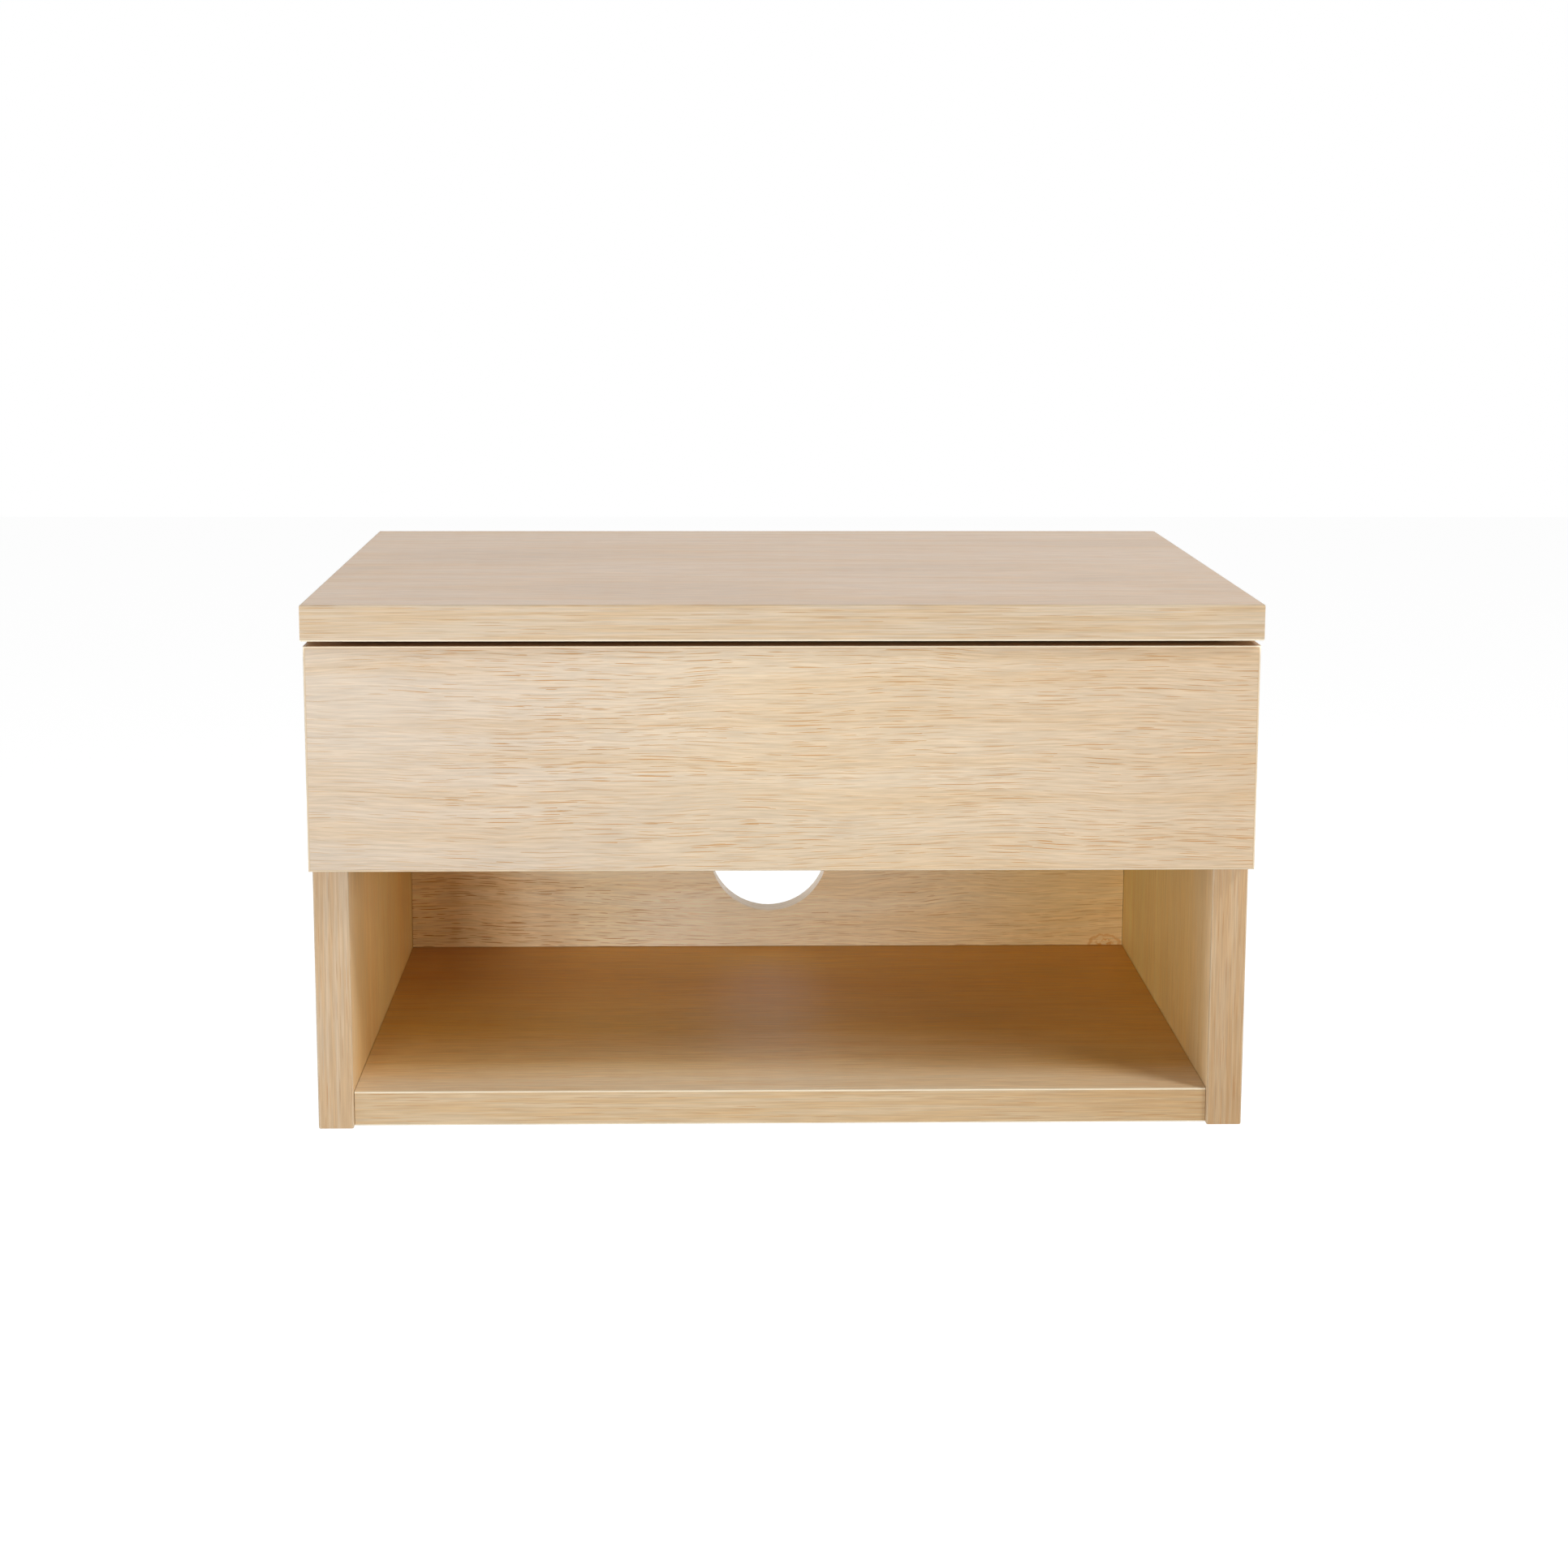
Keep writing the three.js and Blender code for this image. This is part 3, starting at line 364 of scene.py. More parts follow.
# Screws with a cross recess and a thread, slide balls and bumpers
PAN_HEAD = Head(4.0 * MM, 2.2 * MM, 1.1 * MM, True, 2.0 * MM)
FLAT_HEAD = Head(4.2 * MM, 1.2 * MM, 0.0, False, 2.9 * MM)
RECESS_REACH = 2.5 * MM
RECESS_WIDTH = 1.1 * MM
RECESS_DEPTH = 1.0 * MM
RECESS_POWER = 4              # how steep the recess's sides are
THREAD_PITCH = 1.4 * MM
THREAD_DEPTH = 0.5 * MM
TIP_LENGTH = 1.2 * MM
HEAD_RINGS = 14
THREAD_RINGS = 6              # in one turn of the thread
ROUND_SIDES = 36
SCREWS_IN_A_SET = 4           # through the drawer box into its front, and through the hanging rail
BALL_RADIUS = 2.0 * MM
BALLS_PER_ROW = 5
BALL_RINGS = 10
BALL_SIDES = 20
BALL_TOP_SHARE = math.sin(math.radians(60))   # height of a CAD ball, which has six sides, of its radius
BUMPER_RADIUS = 4.0 * MM
BUMPER_FOOT_SHARE = 0.96      # radius of a bumper's foot, of its full one
BUMPER_RIM_SHARE = 0.35       # straight part of a bumper's side, of its height
BUMPER_FOOT_RISE_SHARE = 0.1  # where a bumper has its full radius, of that part
BUMPER_POWER = 0.6            # how full its dome is
BUMPER_RINGS = 10
SHARP_ANGLE = math.radians(40)


class Nodes:
    """Short calls for the nodes of one tree. A value is a number, a colour or a node's output."""

    def __init__(self, tree):
        self.tree = tree
        tree.nodes.clear()

    def new(self, kind, **settings):
        """A node of a kind with its settings."""
        node = self.tree.nodes.new(kind)
        for name, value in settings.items():
            setattr(node, name, value)
        return node

    def put(self, socket, value):
        """Links a node's output to a socket, or sets the socket to a number or colour."""
        if isinstance(value, bpy.types.NodeSocket):
            self.tree.links.new(value, socket)
        elif isinstance(value, tuple) and socket.type == "RGBA":
            socket.default_value = (*value, 1.0)
        else:
            socket.default_value = value

    def math(self, operation, a, b=0.0, clamp=False):
        node = self.new("ShaderNodeMath", operation=operation, use_clamp=clamp)
        self.put(node.inputs[0], a)
        self.put(node.inputs[1], b)
        return node.outputs[0]

    def add(self, a, b):
        return self.math("ADD", a, b)

    def minus(self, a, b):
        return self.math("SUBTRACT", a, b)

    def times(self, a, b):
        return self.math("MULTIPLY", a, b)

    def larger(self, a, b):
        return self.math("MAXIMUM", a, b)

    def above(self, a, b):
        """1 where a is above b, otherwise 0."""
        return self.math("GREATER_THAN", a, b)

    def below(self, a, b):
        """1 where a is below b, otherwise 0."""
        return self.math("LESS_THAN", a, b)

    def size(self, a):
        """A number without its sign."""
        return self.math("ABSOLUTE", a)

    def blend(self, share, a, b):
        """A number between a and b."""
        node = self.new("ShaderNodeMix")
        self.put(node.inputs[0], share)
        self.put(node.inputs[2], a)
        self.put(node.inputs[3], b)
        return node.outputs[0]

    def colours(self, share, a, b, mode="MIX"):
        """A colour between a and b."""
        node = self.new("ShaderNodeMix", data_type="RGBA", blend_type=mode)
        self.put(node.inputs[0], share)
        self.put(node.inputs[6], a)
        self.put(node.inputs[7], b)
        return node.outputs[2]

    def tinted(self, colour, tint):
        """A colour times a colour."""
        return self.colours(1.0, colour, tint, "MULTIPLY")

    def shaded(self, colour, shade):
        """A colour times a number."""
        return self.tinted(colour, self.point(shade, shade, shade))

    def spread(self, value, low, high, to_low=0.0, to_high=1.0):
        """Maps low..high smoothly to to_low..to_high."""
        node = self.new("ShaderNodeMapRange", interpolation_type="SMOOTHSTEP")
        self.put(node.inputs[0], value)
        for socket, number in zip(node.inputs[1:5], (low, high, to_low, to_high)):
            self.put(socket, number)
        return node.outputs[0]

    def point(self, x, y, z=0.0):
        node = self.new("ShaderNodeCombineXYZ")
        for socket, value in zip(node.inputs, (x, y, z)):
            self.put(socket, value)
        return node.outputs[0]

    def parts(self, vector):
        """A vector's parts along X, Y and Z."""
        node = self.new("ShaderNodeSeparateXYZ")
        self.put(node.inputs[0], vector)
        return tuple(node.outputs)

    def axes(self, vector):
        """A vector's parts by the names of their axes."""
        return dict(zip(AXES, self.parts(vector)))

    def place(self):
        """The point on the piece, in the frame of the model at rest."""
        return self.new("ShaderNodeTexCoord").outputs["Object"]

    def facing(self):
        """The face's own normal."""
        return self.new("ShaderNodeNewGeometry").outputs["True Normal"]

    def noise(self, vector, detail=2.0, roughness=0.5, flat=True):
        node = self.new("ShaderNodeTexNoise", noise_dimensions="2D" if flat else "3D")
        self.put(node.inputs["Vector"], vector)
        self.put(node.inputs["Scale"], 1.0)
        self.put(node.inputs["Detail"], detail)
        self.put(node.inputs["Roughness"], roughness)
        return node.outputs[0]

    def clouds(self, count):
        """Soft clouds through the piece, about so many to a metre."""
        node = self.new("ShaderNodeVectorMath", operation="SCALE")
        self.put(node.inputs[0], self.place())
        self.put(node.inputs["Scale"], count)
        return self.noise(node.outputs[0], flat=False)

    def cells(self, vector):
        """The nearest scattered point and its random colour."""
        node = self.new("ShaderNodeTexVoronoi", voronoi_dimensions="2D")
        self.put(node.inputs["Vector"], vector)
        self.put(node.inputs["Scale"], 1.0)
        return node.outputs["Position"], node.outputs["Color"]

    def stretched(self, along, across, length, width, seed):
        """Texture coordinates in which one unit is length along the grain and width across it."""
        u = self.add(self.times(along, 1 / length), seed)
        v = self.add(self.times(across, 1 / width), seed)
        return self.point(u, v)

    def pattern(self, along, across, look, seed=0.0):
        """A pattern's value at a point."""
        here = self.stretched(along, across, look.length, look.width, seed + look.seed)
        return self.noise(here, look.detail, look.roughness)

    def in_view(self):
        """1 where the surroundings are seen, also in metal or through a clear piece, and 0 where they give
        light."""
        path = self.new("ShaderNodeLightPath")
        direct = self.larger(path.outputs["Is Camera Ray"], path.outputs["Is Glossy Ray"])
        return self.larger(direct, path.outputs["Is Transmission Ray"])


class Shader(Nodes):
    """A material with one surface shader."""

    def __init__(self, name):
        self.material = bpy.data.materials.new(name)
        self.material.use_nodes = True
        super().__init__(self.material.node_tree)
        self.out = self.new("ShaderNodeOutputMaterial")
        self.bsdf = self.new("ShaderNodeBsdfPrincipled")
        self.put(self.out.inputs[0], self.bsdf.outputs[0])

    def set(self, **values):
        """Puts numbers, colours or node outputs on the surface shader's own sockets."""
        for name, value in values.items():
            self.put(self.bsdf.inputs[name.replace("_", " ")], value)

    def bump(self, height, depth):
        node = self.new("ShaderNodeBump")
        self.put(node.inputs["Strength"], 1.0)
        self.put(node.inputs["Distance"], depth)
        self.put(node.inputs["Height"], height)
        self.put(self.bsdf.inputs["Normal"], node.outputs[0])


def pores_at(shader, along, across, look, seed, coarse=1.0):
    """How dark the pores are at a point, from 0 on plain board to 1."""
    cell_length = look.cell_length / coarse
    here = shader.stretched(along, across, cell_length, look.cell_width, seed + look.seed)
    centre, chance = shader.cells(here)
    x, y, _ = shader.parts(here)
    at_x, at_y, _ = shader.parts(centre)
    red, green, _ = shader.parts(chance)
    size = shader.blend(green, SHORTEST_SHARE, 1.0)
    reach = shader.times(size, look.reach / look.cell_length)
    thickness = shader.times(size, look.thickness * coarse / look.cell_width)
    out_x = shader.math("DIVIDE", shader.minus(x, at_x), reach)
    out_y = shader.math("DIVIDE", shader.minus(y, at_y), thickness)
    away = shader.add(shader.times(out_x, out_x), shader.times(out_y, out_y))
    shape = shader.spread(away, 1.0, PORE_CORE_SHARE)
    strength = shader.spread(red, 1.0 - look.share, 1.0, FAINTEST_PORE, 1.0)
    return shader.times(shape, strength)


def knot_at(shader):
    """How dark the knot is at a point, 0 to 1: an arc with a few spots under it."""
    panel_low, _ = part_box("right_side_panel")
    _, shelf_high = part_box("bottom_shelf")
    at = shader.axes(shader.place())
    aside = shader.times(shader.minus(at["x"], panel_low.x - KNOT_IN), 1 / KNOT_HALF_WIDTH)
    up = shader.times(shader.minus(at["z"], shelf_high.z + KNOT_RISE), 1 / KNOT_HALF_HEIGHT)
    waver = shader.pattern(at["x"], at["z"], KNOT_WAVER)
    away = shader.math("SQRT", shader.add(shader.times(aside, aside), shader.times(up, up)))
    away = shader.add(away, shader.times(shader.minus(waver, MIDDLE), KNOT_UNEVENNESS))
    arc = shader.times(shader.spread(away, *ARC_INSIDE), shader.spread(away, *ARC_OUTSIDE))
    spots = shader.times(shader.spread(waver, *SPOT_RANGE), shader.spread(away, *SPOT_REACH))
    return shader.larger(shader.times(arc, ARC_STRENGTH), shader.times(spots, SPOT_STRENGTH))


def swayed(shader, along, across, board):
    """The place across the grain, shifted so that the grain sways."""
    sway = shader.minus(shader.pattern(along, across, SWAY, board.seed), MIDDLE)
    ripple = shader.minus(shader.pattern(along, across, RIPPLE, board.seed), MIDDLE)
    shift = shader.add(shader.times(sway, board.bend), shader.times(ripple, RIPPLE_SHARE * board.bend))
    return shader.add(across, shift)


def face_pores(shader, along, across, board):
    """How dark the pores on a board's face are at a point, 0 to 1."""
    crowd = shader.pattern(along, across, CROWD, board.seed)
    long_pores = pores_at(shader, along, across, LONG_PORES, board.seed, board.coarse)
    short_pores = pores_at(shader, along, across, SHORT_PORES, board.seed, board.coarse)
    pores = shader.larger(long_pores, shader.times(short_pores, SHORT_PORE_STRENGTH))
    pores = shader.times(pores, shader.spread(crowd, *CROWD_RANGE))
    return shader.math("MULTIPLY", pores, toned(shader, board.pores), clamp=True)


def face_print(shader, along, across, board):
    """What the print does to the tone of a board's face, and its pores and fibres."""
    across = swayed(shader, along, across, board)
    cloud = shader.pattern(along, across, CLOUD, board.seed)
    band = shader.pattern(along, across, BAND, board.seed)
    streak = shader.pattern(along, across, STREAK, board.seed)
    fibre = shader.pattern(along, across, FIBRE, board.seed)
    colour = shader.colours(shader.spread(shader.add(cloud, band), *WARM_RANGE), PALE, WARM)
    colour = shader.colours(shader.spread(cloud, *GREY_RANGE), colour, GREY)
    shade = shader.times(shader.spread(streak, *STREAK_SHADE), shader.spread(fibre, *FIBRE_SHADE))
    pores = face_pores(shader, along, across, board)
    return shader.colours(pores, shader.shaded(colour, shade), board.pore_colour), pores, fibre


def edge_print(shader, along, across, seed):
    """What the print does to the tone of the band on a board's edges, and its pores and fibres."""
    streak = shader.pattern(along, across, EDGE_STREAK, seed)
    fibre = shader.pattern(along, across, EDGE_FIBRE, seed)
    colour = shader.colours(shader.spread(streak, *EDGE_WARM_RANGE), GREY, WARM)
    shade = shader.times(shader.spread(streak, *EDGE_STREAK_SHADE), shader.spread(fibre, *EDGE_FIBRE_SHADE))
    pores = pores_at(shader, along, across, EDGE_PORES, seed)
    darkness = shader.times(pores, EDGE_PORE_STRENGTH)
    return shader.colours(darkness, shader.shaded(colour, shade), PORE), pores, fibre


def rim_distance(shader, node, axes):
    """How far a point on a face is from the nearest end or side of its board."""
    low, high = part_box(node)
    at = shader.axes(shader.place())
    distances = []
    for axis in axes:
        distances.append(shader.minus(at[axis], low[AXES[axis]]))
        distances.append(shader.minus(high[AXES[axis]], at[axis]))
    nearest, *others = distances
    for distance in others:
        nearest = shader.math("MINIMUM", distance, nearest)
    return nearest


def toned(shader, tone):
    """A plain colour or number, or one that drifts across the case. What it drifts between can drift too."""
    if isinstance(tone, float) or isinstance(tone[0], float):
        return tone
    axis, (share, first), *further = tone
    low = cad_low[AXES[axis]]
    size = cad_high[AXES[axis]] - low
    at = shader.axes(shader.place())[axis]
    mix = shader.blend if isinstance(first, float) else shader.colours
    value = toned(shader, first)
    for next_share, next_value in further:
        step = shader.spread(at, low + share * size, low + next_share * size)
        value = mix(step, value, toned(shader, next_value))
        share = next_share
    return value


def face_look(shader, board, at, side, across):
    """Colour, pores and fibres of a board's faces. The side is 1 on its high face and -1 on its low one."""
    along = shader.add(at[board.grain], shader.times(side, FACE_SHIFT))
    colour, pores, fibre = face_print(shader, along, at[across], board)
    if board.knotted:
        strength = shader.times(knot_at(shader), shader.below(side, 0.0))
        colour = shader.colours(strength, colour, PORE)
    low_tone = toned(shader, board.low_tone)
    high_tone = toned(shader, board.high_tone)
    tone = shader.colours(shader.above(side, 0.0), low_tone, high_tone)
    return shader.tinted(colour, tone), pores, fibre


def edge_look(shader, board, at, normal, across):
    """Colour, pores and fibres of the band on a board's edges, which runs round the board."""
    on_end = shader.above(shader.size(normal[board.grain]), SQUARE)
    along = shader.blend(on_end, at[board.grain], at[across])
    colour, pores, fibre = edge_print(shader, along, at[board.thin], board.seed + EDGE_SEED)
    return shader.tinted(colour, toned(shader, board.edge_tone)), pores, fibre


def add_seam(shader, board, across, face, on_face):
    """Draws the seam of the band round a face, and gives the strip outside it to the edge."""
    rim = rim_distance(shader, board.node, (board.grain, across))
    seam = shader.times(shader.spread(rim, SEAM_REACH, EDGE_BAND), on_face)
    face = shader.colours(shader.times(seam, SEAM_STRENGTH), face, SEAM)
    return face, shader.times(on_face, shader.above(rim, EDGE_BAND))


def oak_board(board):
    """The material of a printed board, with its faces, edge band and eased edges."""
    shader = Shader("oak_" + board.node)
    across = (set(AXES) - {board.thin, board.grain}).pop()
    at = shader.axes(shader.place())
    normal = shader.axes(shader.facing())
    side = shader.math("SIGN", normal[board.thin])
    squareness = shader.size(normal[board.thin])
    on_face = shader.above(squareness, SQUARE)
    face, face_depth, face_fibre = face_look(shader, board, at, side, across)
    edge, edge_depth, edge_fibre = edge_look(shader, board, at, normal, across)
    if board.banded:
        face, on_face = add_seam(shader, board, across, face, on_face)
    colour = shader.colours(on_face, edge, face)
    slanting = shader.times(shader.above(squareness, EASED_LOW), shader.below(squareness, EASED_HIGH))
    # Eased edges are drawn paler: partly the paler milled band, partly a painted highlight.
    colour = shader.colours(slanting, colour, shader.colours(toned(shader, board.easing), edge, EASED_PALE_AND_HIGHLIGHT))
    depth = shader.blend(on_face, edge_depth, face_depth)
    fibre = shader.blend(on_face, edge_fibre, face_fibre)
    shader.set(Base_Color=colour, Roughness=shader.spread(fibre, *OAK_ROUGHNESS))
    shader.bump(shader.minus(shader.times(fibre, FIBRE_RISE_SHARE), depth), PRINT_DEPTH)
    return shader.material


def plain_board(name, thin, grain, seed, colour, roughness):
    """The material of a light smooth board with soft streaks along its grain."""
    shader = Shader(name)
    other = (set(AXES) - {thin, grain}).pop()
    at = shader.axes(shader.place())
    across = shader.add(at[other], at[thin])
    streak = shader.pattern(at[grain], across, PLAIN_STREAK, seed)
    fleck = shader.pattern(at[grain], across, PLAIN_FLECK, seed)
    darker = tuple(PLAIN_DARKER * part for part in colour)
    smoother = roughness - PLAIN_UNEVENNESS
    rougher = roughness + PLAIN_UNEVENNESS
    shader.set(Base_Color=shader.colours(shader.spread(streak, *MOST), colour, darker))
    shader.set(Roughness=shader.spread(fleck, *PLAIN_FLECK_RANGE, smoother, rougher))
    shader.bump(fleck, PLAIN_DEPTH)
    return shader.material


def metal(name, look):
    """The material of a drawn metal with a slightly uneven sheen."""
    shader = Shader(name)
    at = shader.axes(shader.place())
    first, second = (at[axis] for axis in AXES if axis != look.drawn)
    lines = shader.pattern(at[look.drawn], shader.add(first, second), look.lines)
    cloud = shader.clouds(METAL_CLOUDS)
    darker = tuple(METAL_DARKER * part for part in look.colour)
    shader.set(Base_Color=shader.colours(shader.spread(cloud, *MOST), look.colour, darker), Metallic=1.0)
    smoother, rougher = (look.roughness + change for change in SHEEN_CHANGE)
    shader.set(Roughness=shader.spread(shader.add(lines, cloud), *SHEEN_RANGE, smoother, rougher))
    shader.bump(lines, look.depth)
    return shader.material


def silicone(name):
    """The material of a clear soft bumper."""
    shader = Shader(name)
    cloud = shader.clouds(SILICONE_CLOUDS)
    shader.set(Base_Color=SILICONE_COLOUR, IOR=SILICONE_IOR, Transmission_Weight=SILICONE_CLEARNESS)
    shader.set(Roughness=shader.spread(cloud, *MOST, *SILICONE_ROUGHNESS))
    shader.bump(cloud, SILICONE_DEPTH)
    return shader.material


def paint(node, material):
    """Gives a carried-over node one material all over."""
    mesh = frame["nodes"][node].data
    mesh.materials.clear()
    mesh.materials.append(material)


def dress_case():
    for board in BOARDS:
        paint(board.node, oak_board(board))


def dress_inside():
    boards = {name: plain_board(name, *look) for name, look in PLAIN_BOARDS.items()}
    for node, name in PLAIN_NODES.items():
        paint(node, boards[name])
    hardware = {name: metal(name, look) for name, look in METALS.items()}
    hardware["clear_silicone"] = silicone("clear_silicone")
    for part in frame["record"]["subparts"]:
        if part["material_slot"] in hardware:
            paint(part["node"], hardware[part["material_slot"]])
    add_fittings(hardware)


def ring_faces(first, rows, count):
    """Faces between rings of so many points that follow each other from the first point on."""
    faces = []
    for row in range(rows - 1):
        base = first + row * count
        for i in range(count):
            j = (i + 1) % count
            faces.append((base + i, base + j, base + count + j, base + count + i))
    return faces


def turned_rings(centre, out, profile, sides):
    """Rings of points about the out axis. The profile gives the height over the centre and the radius of
    each ring, as numbers or as functions of the turn."""
    side = out.orthogonal().normalized()
    up = out.cross(side)
    turns = [math.tau * i / sides for i in range(sides)]
    rings = []
    for height, radius in profile:
        ring = []
        for turn in turns:
            away = radius(turn) if callable(radius) else radius
            level = height(turn) if callable(height) else height
            ring.append(centre + out * level + (side * math.cos(turn) + up * math.sin(turn)) * away)
        rings.append(ring)
    return rings


def smooth_piece(name, points, faces, material, node):
    """A mesh piece that moves with a CAD node's body."""
    mesh = bpy.data.meshes.new(name)
    mesh.from_pydata(points, [], faces)
    mesh.materials.append(material)
    mesh.shade_smooth()
    mesh.set_sharp_from_angle(angle=SHARP_ANGLE)
    piece = bpy.data.objects.new(name, mesh)
    bpy.context.scene.collection.objects.link(piece)
    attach(piece, frame["nodes"][node].parent.name.removeprefix("body:"))
    return piece


def turned_piece(name, rings, start, end, material, node):
    """A closed piece through rings of points, drawn together to a point at its start and its end. It
    stands for the CAD node."""
    count = len(rings[0])
    points = [start] + [point for ring in rings for point in ring] + [end]
    last = 1 + (len(rings) - 1) * count
    faces = [(0, 1 + (i + 1) % count, 1 + i) for i in range(count)]
    faces += ring_faces(1, len(rings), count)
    faces += [(last + i, last + (i + 1) % count, len(points) - 1) for i in range(count)]
    piece = smooth_piece(name, points, faces, material, node)
    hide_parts(node)


def recess_depth(radius, turn):
    """How deep the cross recess is at a point of a screw head."""
    x = abs(radius * math.cos(turn))
    y = abs(radius * math.sin(turn))
    across = max(0.0, 1 - (2 * min(x, y) / RECESS_WIDTH) ** RECESS_POWER)
    along = max(0.0, 1 - (max(x, y) / RECESS_REACH) ** RECESS_POWER)
    return RECESS_DEPTH * across * along


def head_profile(head):
    """Heights and radii of the rings of a screw's head, down from its crown."""
    profile = []
    for i in range(1, HEAD_RINGS + 1):
        away = head.radius * i / HEAD_RINGS
        drop = head.crown * (i / HEAD_RINGS) ** 2
        profile.append((lambda turn, away=away, drop=drop: -drop - recess_depth(away, turn), away))
    if head.upright:
        profile.append((-head.height, head.radius))
    return profile


def thread_profile(head, length):
    """Heights and radii of the rings of a screw's thread, down from its head."""
    def radius(turn, phase):
        return head.thread_radius - THREAD_DEPTH * (0.5 + 0.5 * math.cos(phase - turn))

    shank = length - head.height - TIP_LENGTH
    steps = math.ceil(shank / THREAD_PITCH * THREAD_RINGS)
    profile = []
    for i in range(steps + 1):
        level = head.height + shank * i / steps
        phase = math.tau * level / THREAD_PITCH
        profile.append((-level, lambda turn, phase=phase: radius(turn, phase)))
    return profile


def screw(node, out, head, material):
    """A screw in place of a CAD screw. Out is the way that its head faces."""
    low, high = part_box(node)
    length = abs((high - low).dot(out))
    crown = (low + high) / 2 + out * length / 2
    rings = turned_rings(crown, out, head_profile(head) + thread_profile(head, length), ROUND_SIDES)
    start = crown - out * RECESS_DEPTH
    turned_piece(node + "_threaded", rings, start, crown - out * length, material, node)


def bumper(node, material):
    """A smooth dome in place of a CAD bumper."""
    low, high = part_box(node)
    rise = high.y - low.y
    foot = Vector(((low.x + high.x) / 2, low.y, (low.z + high.z) / 2))
    rim = BUMPER_RIM_SHARE * rise
    profile = [(0.0, BUMPER_RADIUS * BUMPER_FOOT_SHARE), (BUMPER_FOOT_RISE_SHARE * rim, BUMPER_RADIUS)]
    for i in range(BUMPER_RINGS):
        lift = math.radians(90) * i / BUMPER_RINGS
        profile.append((rim + (rise - rim) * math.sin(lift), BUMPER_RADIUS * math.cos(lift) ** BUMPER_POWER))
    rings = turned_rings(foot, TO_WALL, profile, ROUND_SIDES)
    turned_piece(node + "_dome", rings, foot, foot + TO_WALL * rise, material, node)


def ball(centre, first):
    """Points and faces of a ball with a small flat at either end. Its points count from first."""
    turns = [math.pi * i / BALL_RINGS for i in range(1, BALL_RINGS)]
    profile = [(-BALL_RADIUS * math.cos(turn), BALL_RADIUS * math.sin(turn)) for turn in turns]
    rings = turned_rings(centre, TO_WALL, profile, BALL_SIDES)
    last = first + (len(rings) - 1) * BALL_SIDES
    points = [point for ring in rings for point in ring]
    faces = ring_faces(first, len(rings), BALL_SIDES)
    faces.append(tuple(first + i for i in reversed(range(BALL_SIDES))))
    faces.append(tuple(last + i for i in range(BALL_SIDES)))
    return points, faces


def balls(node, inward, material):
    """Round balls over the faceted ones of a slide's cage. Inward is the way to the drawer along X."""
    low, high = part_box(node)
    x = (high.x if inward > 0 else low.x) - inward * BALL_RADIUS
    middle = (low.z + high.z) / 2
    reach = (high.z - low.z) / 2 - BALL_TOP_SHARE * BALL_RADIUS
    step = (high.y - low.y) / BALLS_PER_ROW
    points = []
    faces = []
    for row in range(BALLS_PER_ROW):
        for level in (-1, 1):
            centre = Vector((x, low.y + (row + 0.5) * step, middle + level * reach))
            ball_points, ball_faces = ball(centre, len(points))
            points += ball_points
            faces += ball_faces
    smooth_piece(node + "_balls", points, faces, material, node)


def add_fittings(hardware):
    """The small fittings whose fine shapes the CAD model leaves out."""
    zinc = hardware["zinc_steel"]
    for i in range(1, SCREWS_IN_A_SET + 1):
        screw(f"drawer_front_screw_{i}", TO_WALL, PAN_HEAD, zinc)
        screw(f"rail_screw_{i}", TO_WALL, PAN_HEAD, zinc)
    for side, inward in (("left", 1), ("right", -1)):
        bumper(f"bumper_{side}", hardware["clear_silicone"])
        for cage in ("outer_cage", "inner_cage"):
            balls(f"{side}_slide_{cage}", inward, hardware["ball_steel"])
        for row in ("front", "rear"):
            screw(f"{side}_slide_case_screw_{row}", Vector((inward, 0, 0)), FLAT_HEAD, zinc)
            screw(f"{side}_slide_drawer_screw_{row}", Vector((-inward, 0, 0)), FLAT_HEAD, zinc)


def add_lamp(name, place, size, power, colour):
    """A rectangular soft lamp that points at the middle of the case."""
    data = bpy.data.lights.new(name, "AREA")
    data.shape = "RECTANGLE"
    data.size, data.size_y = size
    data.energy = power
    data.color = colour
    lamp = bpy.data.objects.new(name, data)
    lamp.location = place
    lamp.rotation_mode = "QUATERNION"
    aim = (cad_low + cad_high) / 2 - Vector(place)
    lamp.rotation_quaternion = aim.to_track_quat("-Z", "Y")
    bpy.context.scene.collection.objects.link(lamp)
    lamp.visible_camera = False


def add_lights():
    for name, look in LAMPS.items():
        add_lamp(name, *look)


def add_world():
    """Plain white behind the object, and an even soft light on it."""
    world = bpy.data.worlds.new("studio")
    bpy.context.scene.world = world
    world.use_nodes = True
    nodes = Nodes(world.node_tree)
    background = nodes.new("ShaderNodeBackground")
    nodes.put(background.inputs[0], WHITE)
    nodes.put(background.inputs[1], nodes.blend(nodes.in_view(), AMBIENT, 1.0))
    nodes.put(nodes.new("ShaderNodeOutputWorld").inputs[0], background.outputs[0])


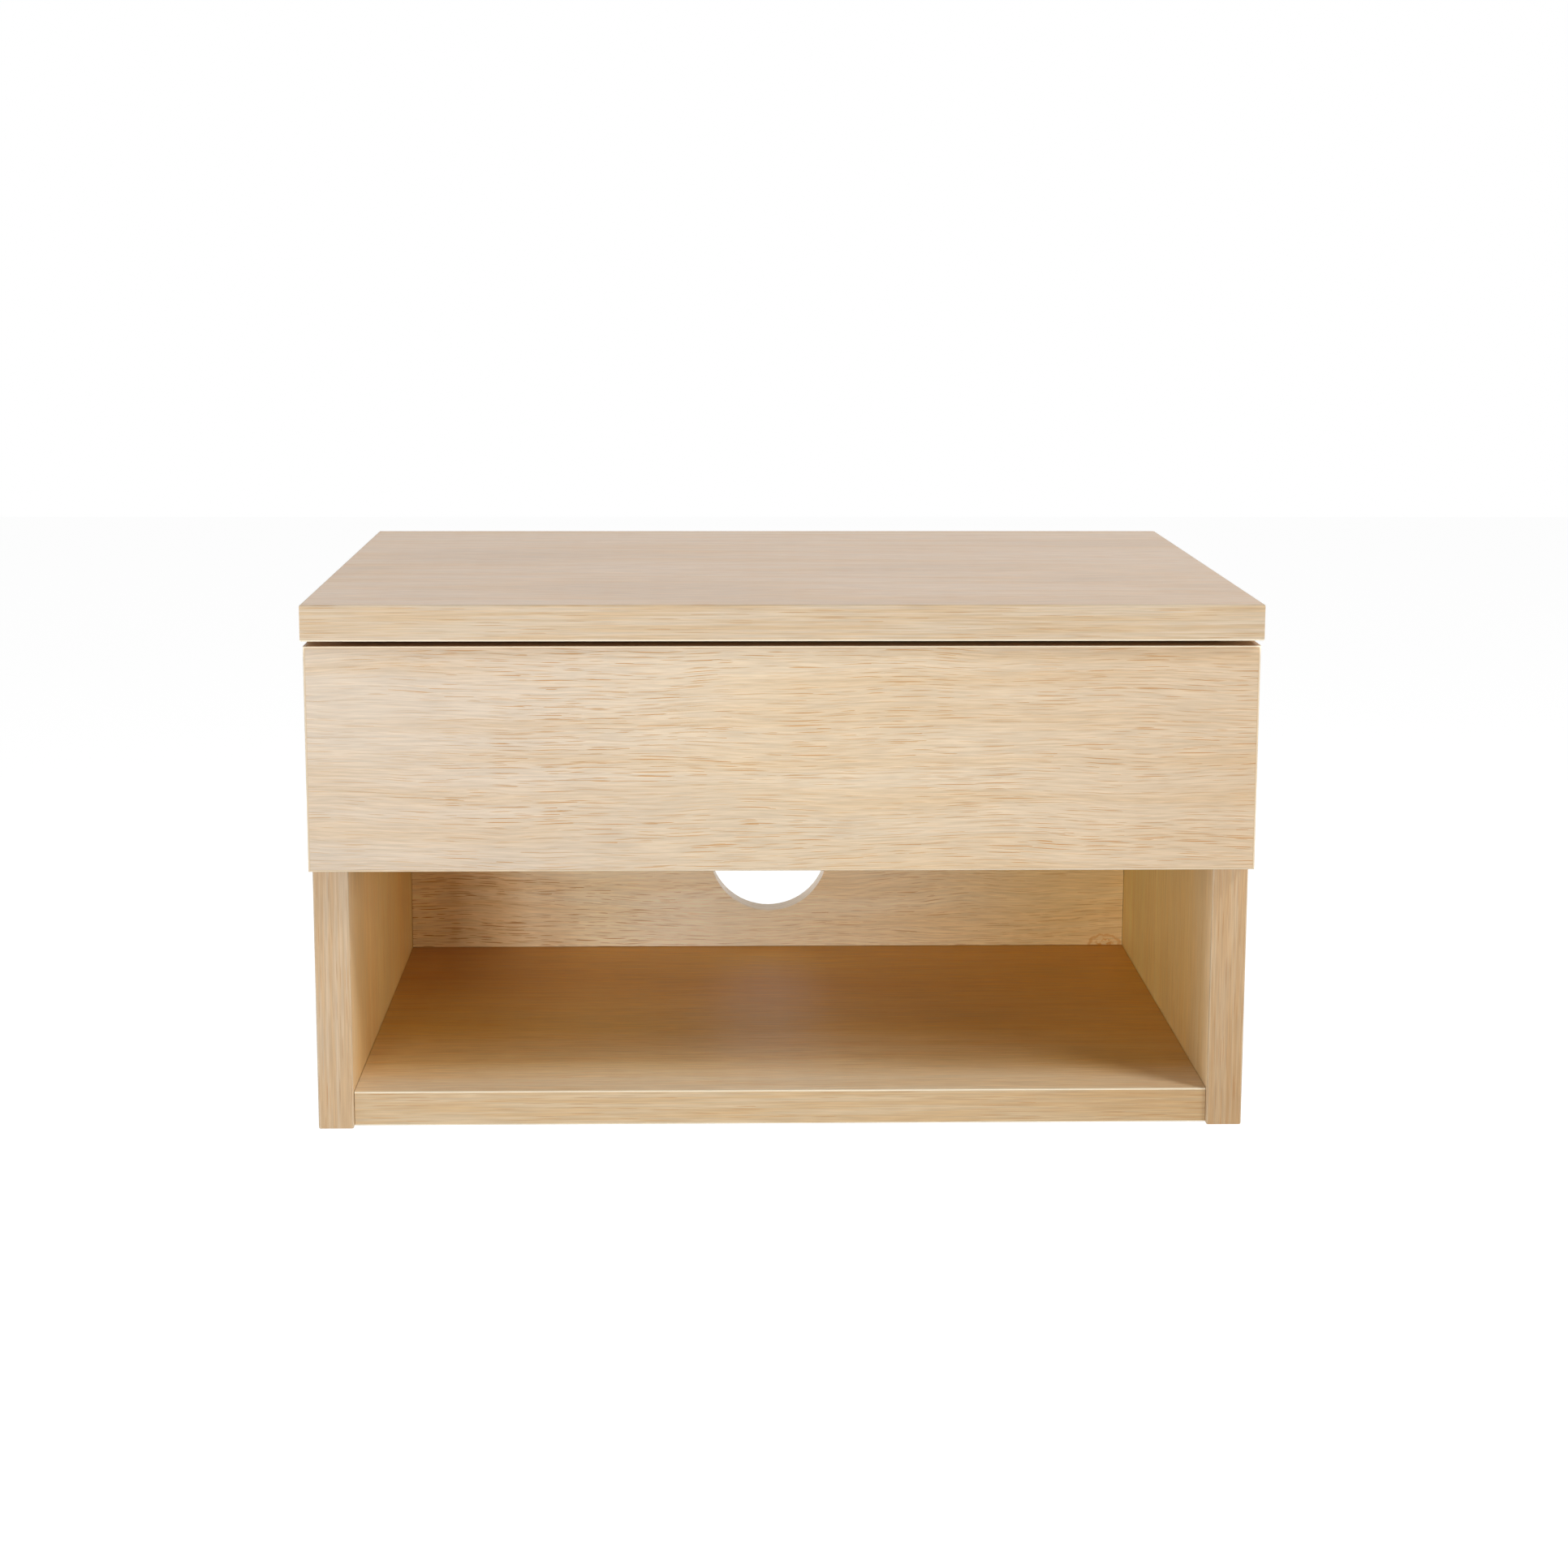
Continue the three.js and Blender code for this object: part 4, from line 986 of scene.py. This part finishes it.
def floor_material():
    """A pale matt floor that lights the case as it is, and is seen as white with the case's shadow."""
    shader = Shader("pale_floor")
    grain = shader.clouds(FLOOR_CLOUDS)
    shader.set(Base_Color=FLOOR_COLOUR, Roughness=shader.spread(grain, *MOST, *FLOOR_ROUGHNESS))
    shader.set(Specular_IOR_Level=FLOOR_SPECULAR)
    glow = shader.new("ShaderNodeEmission")
    shader.put(glow.inputs[0], WHITE)
    shader.put(glow.inputs[1], FLOOR_GLOW)
    faint = shader.new("ShaderNodeBsdfDiffuse")
    shader.put(faint.inputs[0], (FLOOR_SHARE, FLOOR_SHARE, FLOOR_SHARE))
    white = shader.new("ShaderNodeAddShader")
    shader.put(white.inputs[0], glow.outputs[0])
    shader.put(white.inputs[1], faint.outputs[0])
    both = shader.new("ShaderNodeMixShader")
    shader.put(both.inputs[0], shader.in_view())
    shader.put(both.inputs[1], shader.bsdf.outputs[0])
    shader.put(both.inputs[2], white.outputs[0])
    shader.put(shader.out.inputs[0], both.outputs[0])
    return shader.material


def add_floor():
    """A plain floor well below the case."""
    half = FLOOR_SIZE / 2
    level = cad_low.z - FLOOR_DROP
    mesh = bpy.data.meshes.new("floor")
    corners = [(-half, -half, level), (half, -half, level), (half, half, level), (-half, half, level)]
    mesh.from_pydata(corners, [], [(0, 1, 2, 3)])
    mesh.materials.append(floor_material())
    floor = bpy.data.objects.new("floor", mesh)
    bpy.context.scene.collection.objects.link(floor)


def add_camera():
    top_low, top_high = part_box("top_panel")
    data = bpy.data.cameras.new("camera")
    data.lens = CAMERA_LENS
    data.sensor_width = CAMERA_SENSOR
    camera = bpy.data.objects.new("camera", data)
    bpy.context.scene.collection.objects.link(camera)
    bpy.context.scene.camera = camera
    ahead = Vector((
        math.sin(CAMERA_YAW) * math.cos(CAMERA_PITCH),
        math.cos(CAMERA_YAW) * math.cos(CAMERA_PITCH),
        -math.sin(CAMERA_PITCH),
    ))
    level_right = Vector((math.cos(CAMERA_YAW), -math.sin(CAMERA_YAW), 0.0))
    level_up = level_right.cross(ahead)
    right = math.cos(CAMERA_ROLL) * level_right + math.sin(CAMERA_ROLL) * level_up
    up = math.cos(CAMERA_ROLL) * level_up - math.sin(CAMERA_ROLL) * level_right
    place = Vector((CAMERA_RIGHT, top_low.y - CAMERA_BACK, top_high.z + CAMERA_RISE))
    turn = Matrix((right, up, -ahead)).transposed().to_4x4()
    camera.matrix_world = Matrix.Translation(place) @ turn


add_camera()
add_world()
add_lights()
add_floor()
dress_case()
dress_inside()
bpy.context.scene.view_settings.view_transform = "Standard"
